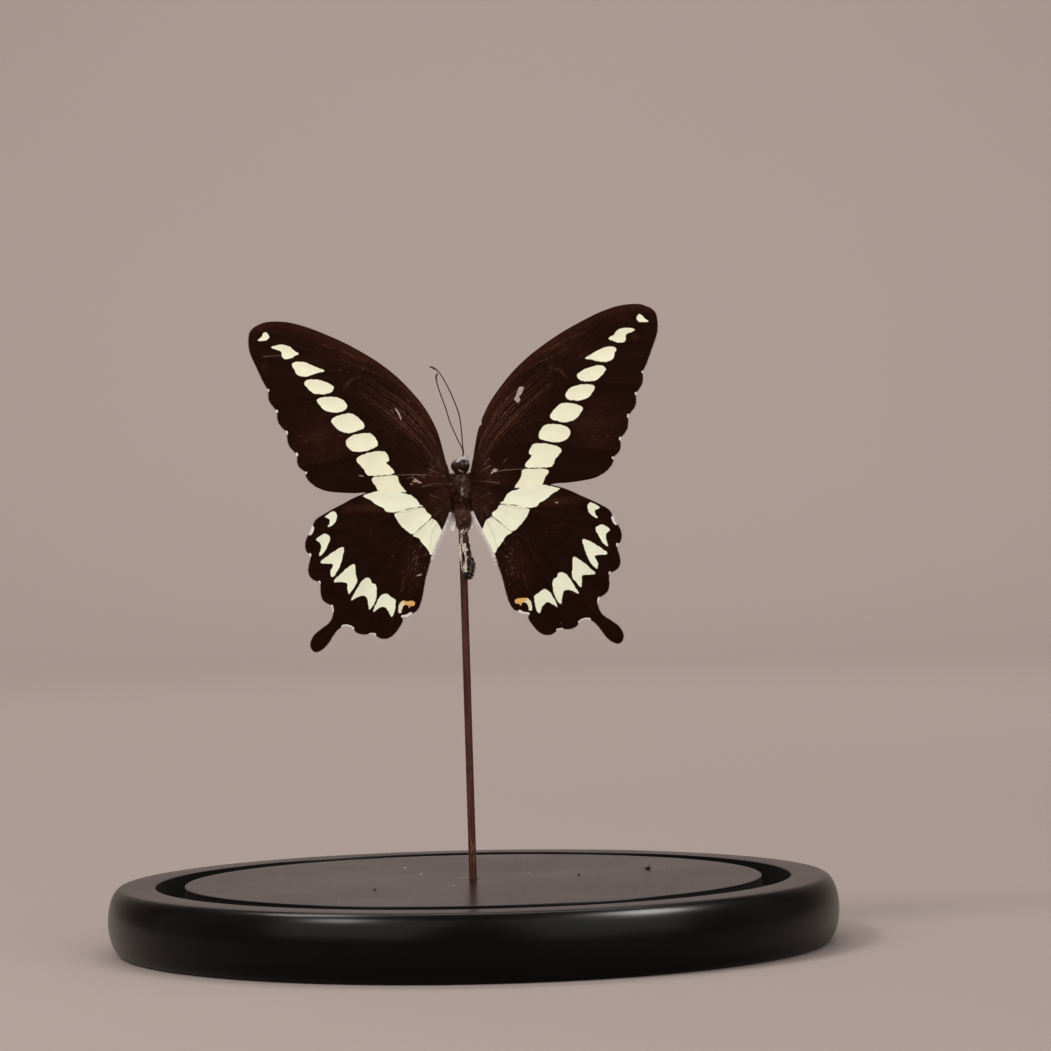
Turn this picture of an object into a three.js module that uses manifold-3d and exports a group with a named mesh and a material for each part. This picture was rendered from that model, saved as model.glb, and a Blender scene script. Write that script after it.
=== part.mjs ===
// A swallowtail butterfly set on a thin rod, on a turned wooden base whose ring groove takes a glass dome.
// Millimetres, +Z up. The origin is the centre of the base's underside, and the butterfly's back faces -Y.
import * as THREE from "three";
import { mergeVertices } from "three/addons/utils/BufferGeometryUtils.js";
import Module from "manifold-3d";

// ---- Driving dimensions -------------------------------------------------------------------------

const BASE_RADIUS = 100;
const BASE_THICKNESS = 18;
const EDGE_DEPTH = 4; // how far the half-round edge stands out past the flat top and bottom
const GROOVE_INNER_RADIUS = 79;
const GROOVE_WIDTH = 8;
const GROOVE_DEPTH = 6;
const BASE_SIDES = 96;
const EDGE_STEPS = 8;

const ROD_RADIUS = 1.05;
const ROD_LEAN_DEG = 0.62; // the top leans towards -X
const ROD_TOP = 128; // height above the table
const ROD_SOCKET_DEPTH = 10;
const ROD_SIDES = 24;
const GAP = 0.3; // the clearance between pieces that touch
const SOCKET_CLEARANCE = 0.45; // all round the rod, which leans in its socket
const ROD_FOOT = BASE_THICKNESS - ROD_SOCKET_DEPTH + GAP;

const SPECIMEN_AT = [-1.3, -6.5, 125.2]; // the middle of the thorax's back, between the wings
const SPECIMEN_LEAN_DEG = 1.67; // the head leans towards -X
const WING_THICKNESS = 0.3;
const WING_LAYER = 0.35; // the hindwings lie this far in front of the wing plane, the forewings behind it
const FEWEST_RUN_STEPS = 4; // along each smooth run of a wing's outline
const LEFT_HINDWING_TURN_DEG = 1.6; // the left hindwing is set a little higher than the right one
const LEFT_HINDWING_SCALE = 0.985;

const SEGMENT_SIDES = 16; // round the head, thorax and abdomen
const THREAD_SIDES = 8; // round an antenna or a leg
const ANTENNA_STEPS = 16;
const LEG_STEPS = 12;
const OVAL_SIDES = 16; // round an eye or the glue
const PALP_SIDES = 12;
const COIL_SIDES = 20; // round the tongue's coil

// ---- Colours and finishes -----------------------------------------------------------------------

const finish = (color, roughness, metalness = 0) =>
  new THREE.MeshStandardMaterial({ color, roughness, metalness });

const BLACK_LACQUER = finish(0x15120f, 0.35);
const BROWN_ROD = finish(0x5a3020, 0.35, 0.5);
const CLEAR_GLUE = finish(0xd8d2c4, 0.25);
const DARK_WING = finish(0x3a1d14, 0.7);
const BODY_FUR = finish(0x35241a, 0.9);
const ABDOMEN_SKIN = finish(0x5d3a28, 0.8);
const DARK_SHELL = finish(0x1c1412, 0.4);
const PALE_SCALES = finish(0xe4dcd0, 0.8);

// ---- Wing outlines, seen from the butterfly's back ----------------------------------------------
// Each point is [out from the body's centre line, up towards the head]. Left and right share one outline.

const FOREWING = {
  // The leading edge, from the thorax to the rounded tip.
  front: [
    [3.4, 4.6], [3.7, 7.5], [4.3, 10.5], [5.5, 15.5], [7.4, 20], [10, 24.3], [15, 30.3], [20, 34.8],
    [25, 38.3], [30, 41.3], [35, 43.8], [40, 46], [44.5, 47.4], [48.5, 47.9], [51.5, 47.7], [53.8, 46.8],
  ],
  // The outer edge, as smooth runs that meet in small notches.
  edge: [
    [
      [53.8, 46.8], [55.3, 45.4], [55.8, 43.4], [55.8, 41], [55.3, 38.8], [53.9, 35.3], [52.3, 31.5],
      [51.1, 29.2],
    ],
    [[51.1, 29.2], [50.9, 26.2], [49, 23.4]],
    [[49, 23.4], [48.7, 20.2], [46.6, 17.5]],
    [[46.6, 17.5], [46.2, 14], [44.1, 11.3]],
    [[44.1, 11.3], [43.9, 8.3], [41.8, 6.2]],
    [[41.8, 6.2], [42, 5.4], [41, 3.7], [39.2, 2.1], [36.8, 1], [33.5, 0.4], [29, 0], [25.5, -0.1]],
  ],
  // The rear edge, from the thorax out, hidden behind the hindwing.
  rear: [[3.4, -1], [8, -2], [14, -2.4], [20, -1.6], [25.5, -0.1]],
  layer: 1,
};

const HINDWING = {
  front: [
    [3.4, 0.4], [6.5, 0.5], [10, 0.1], [14.5, -0.7], [17.5, -0.6], [20.5, -0.3], [23.5, -0.2], [26.3, -0.8],
    [29.5, -2], [33, -3.8], [36.2, -5.4], [39, -7],
  ],
  edge: [
    [[39, -7], [40.3, -8.1], [40.9, -9.3]],
    [[40.9, -9.3], [41.7, -11.2], [42.8, -13], [43.2, -15], [42.8, -16.7], [41.9, -17.5]],
    [[41.9, -17.5], [41.9, -18.8], [42.3, -20.3], [42.5, -22.2], [41.9, -23.8], [40.6, -24.7], [39.4, -25]],
    [[39.4, -25], [39.2, -26.6], [39.2, -28.3], [38.7, -30], [37.6, -31], [36.4, -31.6]],
    // The tail.
    [
      [36.4, -31.6], [35.9, -33], [36.1, -34.8], [37.2, -36.6], [39.4, -38.2], [41.3, -39.8], [42.3, -41.7],
      [42.3, -43.2], [41.5, -44.3], [40.3, -44.4], [38.6, -43.4], [37.2, -41.8], [35.9, -39.8], [34.6, -38.3],
      [33, -37.4], [31.6, -37.4], [30.5, -38.1],
    ],
    [[30.5, -38.1], [29.7, -39.2], [28.2, -39.8], [26.4, -39.8], [24.9, -39.6]],
    [
      [24.9, -39.6], [24.1, -40.3], [22.8, -41.1], [21, -41.1], [19.4, -40.2], [17.9, -38.4], [16.8, -36.5],
      [16.9, -35.2],
    ],
    [[16.9, -35.2], [15.4, -35.1], [14.2, -34.5], [13.2, -33.9]],
  ],
  rear: [
    [2.9, -5.4], [3.4, -7.4], [4.6, -10.2], [6.6, -14.6], [8.2, -18.2], [9.4, -21.8], [10.4, -25.2],
    [11.2, -29.3], [12.1, -32.3], [13.2, -33.9],
  ],
  layer: -1,
};

// How far the wings stand behind the wing plane: they rise towards -Y from the body, then level off.
const wingLift = (out, up) => -0.055 * out + 0.0006 * out ** 2 + 0.0005 * up ** 2;

// ---- The body --------------------------------------------------------------------------------------
// Each station is [across, behind the wing plane, up, half width, half depth], from the tail end up.

const THORAX_STATIONS = [
  [0.1, 1.6, -4.5, 0.6, 0.7], [0.1, 1.6, -4.1, 1.9, 2.2], [0.05, 1.6, -2.6, 2.7, 3.1], [0, 1.6, -0.4, 3, 3.5],
  [0, 1.6, 1.8, 2.8, 3.3], [0, 1.5, 3.3, 2, 2.4], [0, 1.4, 4, 1.1, 1.3],
];
// The abdomen has dried to a bulb, a pinched waist and a shrivelled end.
const ABDOMEN_STATIONS = [
  [0.9, 2.9, -25, 0.4, 0.4], [0.9, 2.9, -24.3, 1.1, 0.9], [0.95, 2.8, -21.5, 1.8, 1.3],
  [0.5, 2.7, -19, 1.65, 1.3], [0.15, 2.6, -16.5, 1.45, 1.2], [0.3, 2.5, -13.3, 1.15, 1.2],
  [0.25, 2.4, -11.3, 1.7, 1.7], [0.2, 2.2, -8.8, 2.2, 2.1], [0.2, 2, -6.6, 2.3, 2.1],
  [0.2, 1.8, -5.2, 1.4, 1.4], [0.2, 1.8, -4.85, 0.5, 0.6],
];
const HEAD_STATIONS = [
  [0.2, 0.9, 4.4, 0.8, 0.9], [0.2, 0.9, 4.9, 1.3, 1.5], [0.25, 0.9, 6.1, 1.5, 1.9], [0.5, 1, 7.5, 1.2, 1.5],
  [0.65, 1, 8.2, 0.7, 0.9],
];
const EYE_RADIUS = 1.65;
const EYES_AT = [0.2, 0.9, 6.05];
const EYE_OFFSET = 1.25; // from EYES_AT
const HEAD_TURN_DEG = 40; // the head has turned, so that its right eye faces the front

// The feelers, as [across, behind the wing plane, up] from the crown to the tip.
const ANTENNA_RADIUS = 0.25;
const RIGHT_ANTENNA = [
  [1.05, 0.7, 8.75], [1.25, 0.4, 9.6], [1.1, 0, 11.3], [1, -0.6, 15.3], [0.6, -1.2, 19.8],
  [-0.85, -1.8, 24.5], [-2.8, -2.3, 29.1], [-4.5, -2.5, 32], [-6, -2.5, 33.1], [-6.9, -2.5, 33.4],
];
const LEFT_ANTENNA = [
  [0.7, 1.4, 8.75], [1.15, 1.5, 9.6], [0.95, 1.6, 10.7], [-0.45, 1.7, 14], [-2, 1.8, 18],
  [-3.15, 1.8, 22.4], [-4.55, 1.8, 26.9], [-5.25, 1.8, 30.2], [-4.8, 1.8, 31.8],
];

// The mouthparts, at places measured from EYES_AT.
const PALP_RADII = [0.45, 0.5, 0.85];
const PALP_PLACE = [0.55, 2.3, 1.7]; // the right one; the left one mirrors it
const TONGUE_COIL_RADIUS = 0.7;
const TONGUE_RADIUS = 0.22;
const TONGUE_PLACE = [0, 3.3, 0.2];

// The right legs, folded behind the wings: [across, behind the wing plane, up] from the hip to the foot.
const LEG_RADIUS = 0.25;
const LEGS = {
  front: [[2.1, 4.7, 2.3], [3.5, 5.8, 4.6], [4.6, 5.6, 6.4], [5, 4.9, 4], [4.7, 4.6, 1.8], [5.6, 4.4, 0.2]],
  middle: [[2.4, 4.8, -0.3], [4.8, 6.2, 0.2], [7.4, 6, 1.4], [7.9, 5.2, -1], [7.3, 4.6, -3.6], [8, 4.4, -6]],
  hind: [[2.1, 4.6, -2.8], [3.8, 6.2, -3.6], [6, 6, -2.6], [6.2, 5.2, -5.6], [5.2, 4.7, -9], [5.6, 4.5, -12]],
};

const GLUE_RADII = [2, 2, 3.2];

// ---- Shapes -------------------------------------------------------------------------------------

const MERGE_DISTANCE = 1e-4;
const radians = THREE.MathUtils.degToRad;
const wasm = await Module();
wasm.setup();

// A closed geometry as a manifold-3d solid.
function solid(geometry) {
  const bare = geometry.clone();
  for (const name of Object.keys(bare.attributes)) if (name !== "position") bare.deleteAttribute(name);
  const merged = mergeVertices(bare, MERGE_DISTANCE);
  return new wasm.Manifold(
    new wasm.Mesh({
      numProp: 3,
      vertProperties: merged.attributes.position.array,
      triVerts: new Uint32Array(merged.index.array),
    }),
  );
}

// A manifold-3d solid as a geometry.
function geometryOf(made) {
  const mesh = made.getMesh();
  const geometry = new THREE.BufferGeometry();
  geometry.setAttribute("position", new THREE.BufferAttribute(mesh.vertProperties, 3));
  geometry.setIndex(new THREE.BufferAttribute(mesh.triVerts, 1));
  geometry.computeVertexNormals();
  return geometry;
}

// The base's profile from the rod's socket, over the groove and round the half-round edge, to the underside.
function baseGeometry() {
  const grooveOuter = GROOVE_INNER_RADIUS + GROOVE_WIDTH;
  const socket = ROD_RADIUS + SOCKET_CLEARANCE;
  const flat = BASE_RADIUS - EDGE_DEPTH;
  const top = BASE_THICKNESS;
  const profile = [[0, 0], [flat, 0]];
  for (let step = 1; step < EDGE_STEPS; step++) {
    const angle = Math.PI * (step / EDGE_STEPS - 0.5);
    profile.push([flat + EDGE_DEPTH * Math.cos(angle), (top / 2) * (1 + Math.sin(angle))]);
  }
  profile.push(
    [flat, top], [grooveOuter, top], [grooveOuter, top - GROOVE_DEPTH],
    [GROOVE_INNER_RADIUS, top - GROOVE_DEPTH], [GROOVE_INNER_RADIUS, top],
    [socket, top], [socket, top - ROD_SOCKET_DEPTH], [0, top - ROD_SOCKET_DEPTH],
  );
  return new THREE.LatheGeometry(profile.map((p) => new THREE.Vector2(...p)), BASE_SIDES).rotateX(Math.PI / 2);
}

// The rod stands along +Z from the bottom of its socket.
function rodGeometry() {
  const length = ROD_TOP - ROD_FOOT;
  const upright = new THREE.CylinderGeometry(ROD_RADIUS, ROD_RADIUS, length, ROD_SIDES).rotateX(Math.PI / 2);
  return upright.translate(0, 0, length / 2);
}

// A smooth line through 2-D points, as so many steps.
const smooth = (points, steps) =>
  new THREE.SplineCurve(points.map((p) => new THREE.Vector2(...p))).getPoints(steps);

// The whole rim of a wing: out along the front edge, down the outer edge, and back in along the rear edge.
function wingOutline({ front, edge, rear }) {
  const runs = [front, ...edge, [...rear].reverse()];
  return runs.flatMap((run) => smooth(run, Math.max(FEWEST_RUN_STEPS, run.length - 1)).slice(0, -1));
}

// A wing is a thin sheet of that outline, turned and scaled about its hinge, and raised by the wings' lift.
function wingGeometry(wing, side, turn = 0, scale = 1) {
  const hinge = new THREE.Vector2(...wing.front[0]);
  const outline = [...wingOutline(wing), new THREE.Vector2(...wing.rear[0])];
  for (const point of outline) {
    point.sub(hinge).rotateAround(new THREE.Vector2(), turn).multiplyScalar(scale).add(hinge);
    point.x *= side;
  }
  const sheet = { depth: WING_THICKNESS, bevelEnabled: false, steps: 1 };
  const geometry = new THREE.ExtrudeGeometry(new THREE.Shape(outline), sheet).rotateX(Math.PI / 2);
  const places = geometry.attributes.position;
  for (let i = 0; i < places.count; i++) {
    const lift = wingLift(Math.abs(places.getX(i)), places.getZ(i));
    places.setY(i, places.getY(i) + WING_THICKNESS / 2 + lift + wing.layer * WING_LAYER);
  }
  return geometry;
}

// A closed body through level ellipses, one for each station.
function loftGeometry(stations) {
  const positions = [];
  const triangles = [];
  for (const [across, behind, up, width, depth] of stations)
    for (let side = 0; side < SEGMENT_SIDES; side++) {
      const angle = (2 * Math.PI * side) / SEGMENT_SIDES;
      positions.push(across + width * Math.cos(angle), behind + depth * Math.sin(angle), up);
    }
  const last = stations.length - 1;
  for (const end of [0, last]) positions.push(...stations[end].slice(0, 3));
  const bottomPole = stations.length * SEGMENT_SIDES;
  for (let side = 0; side < SEGMENT_SIDES; side++) {
    const next = (side + 1) % SEGMENT_SIDES;
    for (let ring = 0; ring < last; ring++) {
      const [a, b] = [ring * SEGMENT_SIDES + side, ring * SEGMENT_SIDES + next];
      const [c, d] = [b + SEGMENT_SIDES, a + SEGMENT_SIDES];
      triangles.push(a, b, c, a, c, d);
    }
    triangles.push(bottomPole, next, side);
    triangles.push(bottomPole + 1, last * SEGMENT_SIDES + side, last * SEGMENT_SIDES + next);
  }
  const geometry = new THREE.BufferGeometry();
  geometry.setAttribute("position", new THREE.Float32BufferAttribute(positions, 3));
  geometry.setIndex(triangles);
  geometry.computeVertexNormals();
  return geometry;
}

// A thread of one thickness along a smooth line.
function threadGeometry(points, radius, steps) {
  const section = new THREE.Shape();
  for (let side = 0; side < THREAD_SIDES; side++) {
    const angle = (2 * Math.PI * side) / THREAD_SIDES;
    const corner = [radius * Math.cos(angle), radius * Math.sin(angle)];
    if (side) section.lineTo(...corner);
    else section.moveTo(...corner);
  }
  const path = new THREE.CatmullRomCurve3(points.map((p) => new THREE.Vector3(...p)));
  return new THREE.ExtrudeGeometry(section, { extrudePath: path, steps });
}

// A sphere with its own radius along each axis.
const ovalGeometry = (radii, at, sides = OVAL_SIDES) =>
  new THREE.SphereGeometry(1, sides, sides / 2).rotateX(Math.PI / 2).scale(...radii).translate(...at);

// A place measured from EYES_AT in the head's own turned directions.
function headPlace([across, behind, up]) {
  const flat = new THREE.Vector2(across, behind).rotateAround(new THREE.Vector2(), -radians(HEAD_TURN_DEG));
  return [EYES_AT[0] + flat.x, EYES_AT[1] + flat.y, EYES_AT[2] + up];
}

// The head's capsule with its two round eyes.
function headGeometry() {
  const eyeRadii = [EYE_RADIUS, EYE_RADIUS, EYE_RADIUS];
  const eye = (side) => solid(ovalGeometry(eyeRadii, headPlace([side * EYE_OFFSET, 0, 0])));
  return geometryOf(solid(loftGeometry(HEAD_STATIONS)).add(eye(1)).add(eye(-1)));
}

// The tongue is coiled up under the head, in an upright ring.
function tongueGeometry() {
  const coil = new THREE.TorusGeometry(TONGUE_COIL_RADIUS, TONGUE_RADIUS, THREAD_SIDES, COIL_SIDES);
  return coil.rotateY(Math.PI / 2).translate(...headPlace(TONGUE_PLACE));
}

// A piece's outside, grown by GAP all round its own middle, as a tool that cuts the glue.
function grown(geometry) {
  const tool = geometry.clone();
  tool.computeBoundingBox();
  const size = tool.boundingBox.getSize(new THREE.Vector3());
  const middle = tool.boundingBox.getCenter(new THREE.Vector3());
  const factor = size.clone().addScalar(2 * GAP).divide(size);
  return tool.translate(-middle.x, -middle.y, -middle.z).scale(...factor).translate(...middle);
}

// ---- The scene graph ----------------------------------------------------------------------------

function piece(name, geometry, material, parent) {
  const mesh = new THREE.Mesh(geometry, material);
  mesh.name = name;
  parent.add(mesh);
  return mesh;
}

const mirrored = (points) => points.map(([across, behind, up]) => [-across, behind, up]);

const root = new THREE.Group();
piece("base", baseGeometry(), BLACK_LACQUER, root);

const rodStand = new THREE.Group();
rodStand.position.set(0, 0, ROD_FOOT);
rodStand.rotation.y = -radians(ROD_LEAN_DEG);
root.add(rodStand);
const rod = piece("rod", rodGeometry(), BROWN_ROD, rodStand);

const specimen = new THREE.Group();
specimen.position.set(...SPECIMEN_AT);
specimen.rotation.y = -radians(SPECIMEN_LEAN_DEG);
root.add(specimen);

const thorax = piece("thorax", loftGeometry(THORAX_STATIONS), BODY_FUR, specimen);
piece("abdomen", loftGeometry(ABDOMEN_STATIONS), ABDOMEN_SKIN, specimen);
piece("head", headGeometry(), BODY_FUR, specimen);

piece("right_forewing", wingGeometry(FOREWING, 1), DARK_WING, specimen);
piece("left_forewing", wingGeometry(FOREWING, -1), DARK_WING, specimen);
piece("right_hindwing", wingGeometry(HINDWING, 1), DARK_WING, specimen);
const leftTurn = radians(LEFT_HINDWING_TURN_DEG);
piece("left_hindwing", wingGeometry(HINDWING, -1, leftTurn, LEFT_HINDWING_SCALE), DARK_WING, specimen);

piece("right_antenna", threadGeometry(RIGHT_ANTENNA, ANTENNA_RADIUS, ANTENNA_STEPS), DARK_SHELL, specimen);
piece("left_antenna", threadGeometry(LEFT_ANTENNA, ANTENNA_RADIUS, ANTENNA_STEPS), DARK_SHELL, specimen);

for (const [name, side] of [["right", 1], ["left", -1]]) {
  const palpAt = headPlace([side * PALP_PLACE[0], PALP_PLACE[1], PALP_PLACE[2]]);
  piece(`${name}_palp`, ovalGeometry(PALP_RADII, palpAt, PALP_SIDES), PALE_SCALES, specimen);
  for (const [place, points] of Object.entries(LEGS)) {
    const route = side > 0 ? points : mirrored(points);
    piece(`${name}_${place}_leg`, threadGeometry(route, LEG_RADIUS, LEG_STEPS), DARK_SHELL, specimen);
  }
}

piece("tongue", tongueGeometry(), DARK_SHELL, specimen);

// The glue wraps the rod's top end and beds it against the underside of the thorax.
root.updateMatrixWorld(true);
const rodTop = new THREE.Vector3(0, 0, ROD_TOP - ROD_FOOT).applyMatrix4(rodStand.matrixWorld);
const glueBlob = ovalGeometry(GLUE_RADII, [rodTop.x, 0, SPECIMEN_AT[2]]);
const rodCut = grown(rod.geometry).applyMatrix4(rod.matrixWorld);
const thoraxCut = grown(thorax.geometry).applyMatrix4(thorax.matrixWorld);
const gluePieces = solid(glueBlob).subtract(solid(rodCut)).subtract(solid(thoraxCut)).decompose();
const [glue] = gluePieces.sort((a, b) => b.volume() - a.volume()); // flakes between the two cuts are left out
piece("glue_bead", geometryOf(glue), CLEAR_GLUE, root);

export default root;
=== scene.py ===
# %% [markdown]
# # A swallowtail butterfly on a thin rod
#
# The object is a dried butterfly with its wings spread. It is glued to the top of a thin bronzed rod, and
# the rod stands in a round base of turned wood, lacquered black, whose ring groove is there for a glass
# dome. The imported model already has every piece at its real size, so it is loaded first and never moved.
# Each cell after it makes one piece as a surface worked out with numpy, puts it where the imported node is,
# and gives it a finish made of shader nodes.

import bpy
import numpy as np
from mathutils import Matrix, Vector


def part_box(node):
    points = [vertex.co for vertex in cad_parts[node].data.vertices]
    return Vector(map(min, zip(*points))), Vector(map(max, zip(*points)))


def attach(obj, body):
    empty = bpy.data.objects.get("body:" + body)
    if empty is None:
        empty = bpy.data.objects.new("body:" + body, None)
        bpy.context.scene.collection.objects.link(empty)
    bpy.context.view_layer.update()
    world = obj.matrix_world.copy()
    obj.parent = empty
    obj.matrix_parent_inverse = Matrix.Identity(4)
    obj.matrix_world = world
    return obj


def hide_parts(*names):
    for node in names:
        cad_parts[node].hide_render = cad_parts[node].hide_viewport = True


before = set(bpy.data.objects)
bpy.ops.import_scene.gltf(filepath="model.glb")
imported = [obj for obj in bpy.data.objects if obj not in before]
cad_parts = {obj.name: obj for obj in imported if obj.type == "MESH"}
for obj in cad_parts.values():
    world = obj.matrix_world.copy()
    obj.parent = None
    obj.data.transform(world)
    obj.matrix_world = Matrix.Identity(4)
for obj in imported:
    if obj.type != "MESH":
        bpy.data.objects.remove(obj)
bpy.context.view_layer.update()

# %% [markdown]
# ## The butterfly's own directions
#
# Wings and body are easiest to describe on the butterfly itself: how far *across* from its middle line,
# how far *behind* the plane of its wings, and how far *up* towards its head, in millimetres. The
# butterfly leans a little on its rod, so one function turns such places by the lean and moves them to the
# top of the rod.

# %% From the butterfly's millimetres to the table's
SPECIMEN_AT = np.array([-1.3, -6.5, 125.2])
SPECIMEN_LEAN = np.radians(1.67)
MILLIMETRE = 0.001


def set_on_rod(places):
    """(across, behind, up) turned about the behind axis by the lean, x = across·cos - up·sin and
    z = across·sin + up·cos, and then moved to SPECIMEN_AT."""
    across, behind, up = np.moveaxis(np.asarray(places, float), -1, 0)
    cos, sin = np.cos(SPECIMEN_LEAN), np.sin(SPECIMEN_LEAN)
    return np.stack([across * cos - up * sin, behind, across * sin + up * cos], -1) + SPECIMEN_AT


print("the middle of the thorax is at", set_on_rod([0, 0, 0]), "mm")

# %% [markdown]
# ## From arrays to a mesh
#
# Blender's mesh can take whole arrays at once with `foreach_set`, which is much quicker than adding faces
# one by one. A closed piece must have its faces pointing outwards. Rather than thinking about each case,
# the helper adds up the volume that the faces enclose: if it comes out negative, all the faces are turned
# round.

# %% Make a piece from places and faces
SHARP_ANGLE = np.radians(40)


def outward(places, faces):
    """The faces, all turned round if the volume they enclose, the sum of a·(b×c)/6 over their triangles,
    is negative."""
    volume = 0.0
    for block in faces:
        for k in range(1, block.shape[1] - 1):
            a, b, c = (places[block[:, i]] for i in (0, k, k + 1))
            volume += np.einsum("ij,ij->", a, np.cross(b, c)) / 6
    return [block[:, ::-1] for block in faces] if volume < 0 else faces


def make_piece(name, places, faces, finish, slot=None, replaces=(), values=None):
    """A mesh object from places (N, 3) in millimetres and blocks of faces (M, 3) or (M, 4). values holds
    numbers for each place, which the finish reads by name. With a slot, the piece rides on the one
    body."""
    centre = places.mean(0)
    faces = outward(places - centre, faces)
    mesh = bpy.data.meshes.new(name)
    mesh.vertices.add(len(places))
    mesh.vertices.foreach_set("co", (places * MILLIMETRE).astype(np.float32).ravel())
    corners = np.concatenate([block.ravel() for block in faces])
    sizes = np.concatenate([np.full(len(block), block.shape[1]) for block in faces])
    mesh.loops.add(len(corners))
    mesh.loops.foreach_set("vertex_index", corners.astype(np.int32))
    mesh.polygons.add(len(sizes))
    mesh.polygons.foreach_set("loop_start", (np.cumsum(sizes) - sizes).astype(np.int32))
    mesh.update(calc_edges=True)
    mesh.shade_smooth()
    mesh.set_sharp_from_angle(angle=SHARP_ANGLE)
    for key, numbers in (values or {}).items():
        stored = mesh.attributes.new(key, "FLOAT", "POINT")
        stored.data.foreach_set("value", numbers.astype(np.float32).ravel())
    mesh.materials.append(finish)
    made = bpy.data.objects.new(name, mesh)
    bpy.context.scene.collection.objects.link(made)
    if slot:
        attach(made, "root")
    if replaces:
        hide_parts(*replaces)
    print(f"{name}: {int((sizes - 2).sum())} triangles")
    return made


# %% [markdown]
# ## Smooth lines, tubes and closed bodies
#
# Nearly everything on an insect is either a thin sheet or a tube whose thickness changes. A smooth line
# through a few given points gives the route. A ring of places round each step of that route gives the
# surface, and both ends are closed with one place in the middle, so that no piece has a hole.

# %% Smooth lines
def spline(points, per=8, closed=False):
    """A smooth line through points. Between p1 and p2 it is the cubic
    (2·p1 + (p2-p0)·t + (2·p0-5·p1+4·p2-p3)·t² + (3·p1-p0-3·p2+p3)·t³) / 2, with t from 0 to 1."""
    p = np.asarray(points, float)
    padded = np.vstack([p[-1:], p, p[:2]]) if closed else np.vstack([2 * p[0] - p[1], p, 2 * p[-1] - p[-2]])
    p0, p1, p2, p3 = (padded[k:len(padded) - 3 + k, None] for k in range(4))
    t = (np.arange(per) / per)[None, :, None]
    line = (2 * p1 + (p2 - p0) * t + (2 * p0 - 5 * p1 + 4 * p2 - p3) * t**2
            + (3 * p1 - p0 - 3 * p2 + p3) * t**3) / 2
    line = line.reshape(-1, p.shape[1])
    return line if closed else np.vstack([line, p[-1:]])


def travelled(line):
    """The length of the line up to each of its places."""
    return np.r_[0, np.cumsum(np.linalg.norm(np.diff(line, axis=0), axis=1))]


def evenly(line, count):
    """The same line as so many places at equal distances along it."""
    length = travelled(line)
    at = np.linspace(0, length[-1], count)
    return np.stack([np.interp(at, length, column) for column in line.T], -1)


# %% Tubes and closed bodies
def unit(vectors):
    """Vectors of length 1: v / |v|."""
    return vectors / np.maximum(np.linalg.norm(vectors, axis=-1, keepdims=True), 1e-9)


def closed_body(rings):
    """Places and faces of a closed surface through rings (count, sides, 3). Each ring is joined to the
    next by four-sided faces, and each end to the middle of its ring by triangles."""
    count, sides = rings.shape[:2]
    places = np.vstack([rings.reshape(-1, 3), rings[0].mean(0), rings[-1].mean(0)])
    first = np.arange(count - 1)[:, None] * sides + np.arange(sides)[None]
    beside = np.arange(count - 1)[:, None] * sides + (np.arange(sides)[None] + 1) % sides
    quads = np.stack([first, beside, beside + sides, first + sides], -1).reshape(-1, 4)
    start = np.arange(sides)
    after = (start + 1) % sides
    top = (count - 1) * sides
    low_end = np.stack([np.full(sides, count * sides), after, start], -1)
    high_end = np.stack([np.full(sides, count * sides + 1), top + start, top + after], -1)
    return places, [quads, np.vstack([low_end, high_end])]


def tube(path, radii, sides, towards):
    """Rings round a path: place = path + radius·(cos a·n + sin a·m), where n is the direction `towards`
    made square to the path, and m is square to both."""
    along = unit(np.gradient(path, axis=0))
    n = unit(towards - (along @ towards)[:, None] * along)
    m = np.cross(along, n)
    angle = np.linspace(0, 2 * np.pi, sides, endpoint=False)[None, :, None]
    radii = np.broadcast_to(radii, len(path))[:, None, None]
    return path[:, None] + radii * (np.cos(angle) * n[:, None] + np.sin(angle) * m[:, None])


def ripple(places, size, seed, waves=6):
    """Smooth unevenness between about -1 and 1: the mean of a few sine waves, sin(2π·p·d/length + phase),
    whose directions, lengths near `size` and phases come from the seed."""
    random = np.random.default_rng(seed)
    ways = unit(random.normal(size=(waves, 3))) / (size * random.uniform(0.6, 1.5, waves))[:, None]
    phases = random.uniform(0, 2 * np.pi, waves)
    return np.sin(2 * np.pi * (places @ ways.T) + phases).mean(-1) * 1.7


# %% [markdown]
# ## Hair
#
# Fur covers the thorax, and fine scales fringe the wings. Particle hair would be lost when the model is
# exported, so each hair is a real three-sided spike. All of the hairs of a patch are worked out together:
# they are copies of the same seven places, bent and stretched by each hair's own numbers.

# %% Hairs as a joined mesh
HAIR_STEPS = np.array([0.0, 0.5])
HAIR_SIDES = 3


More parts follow.
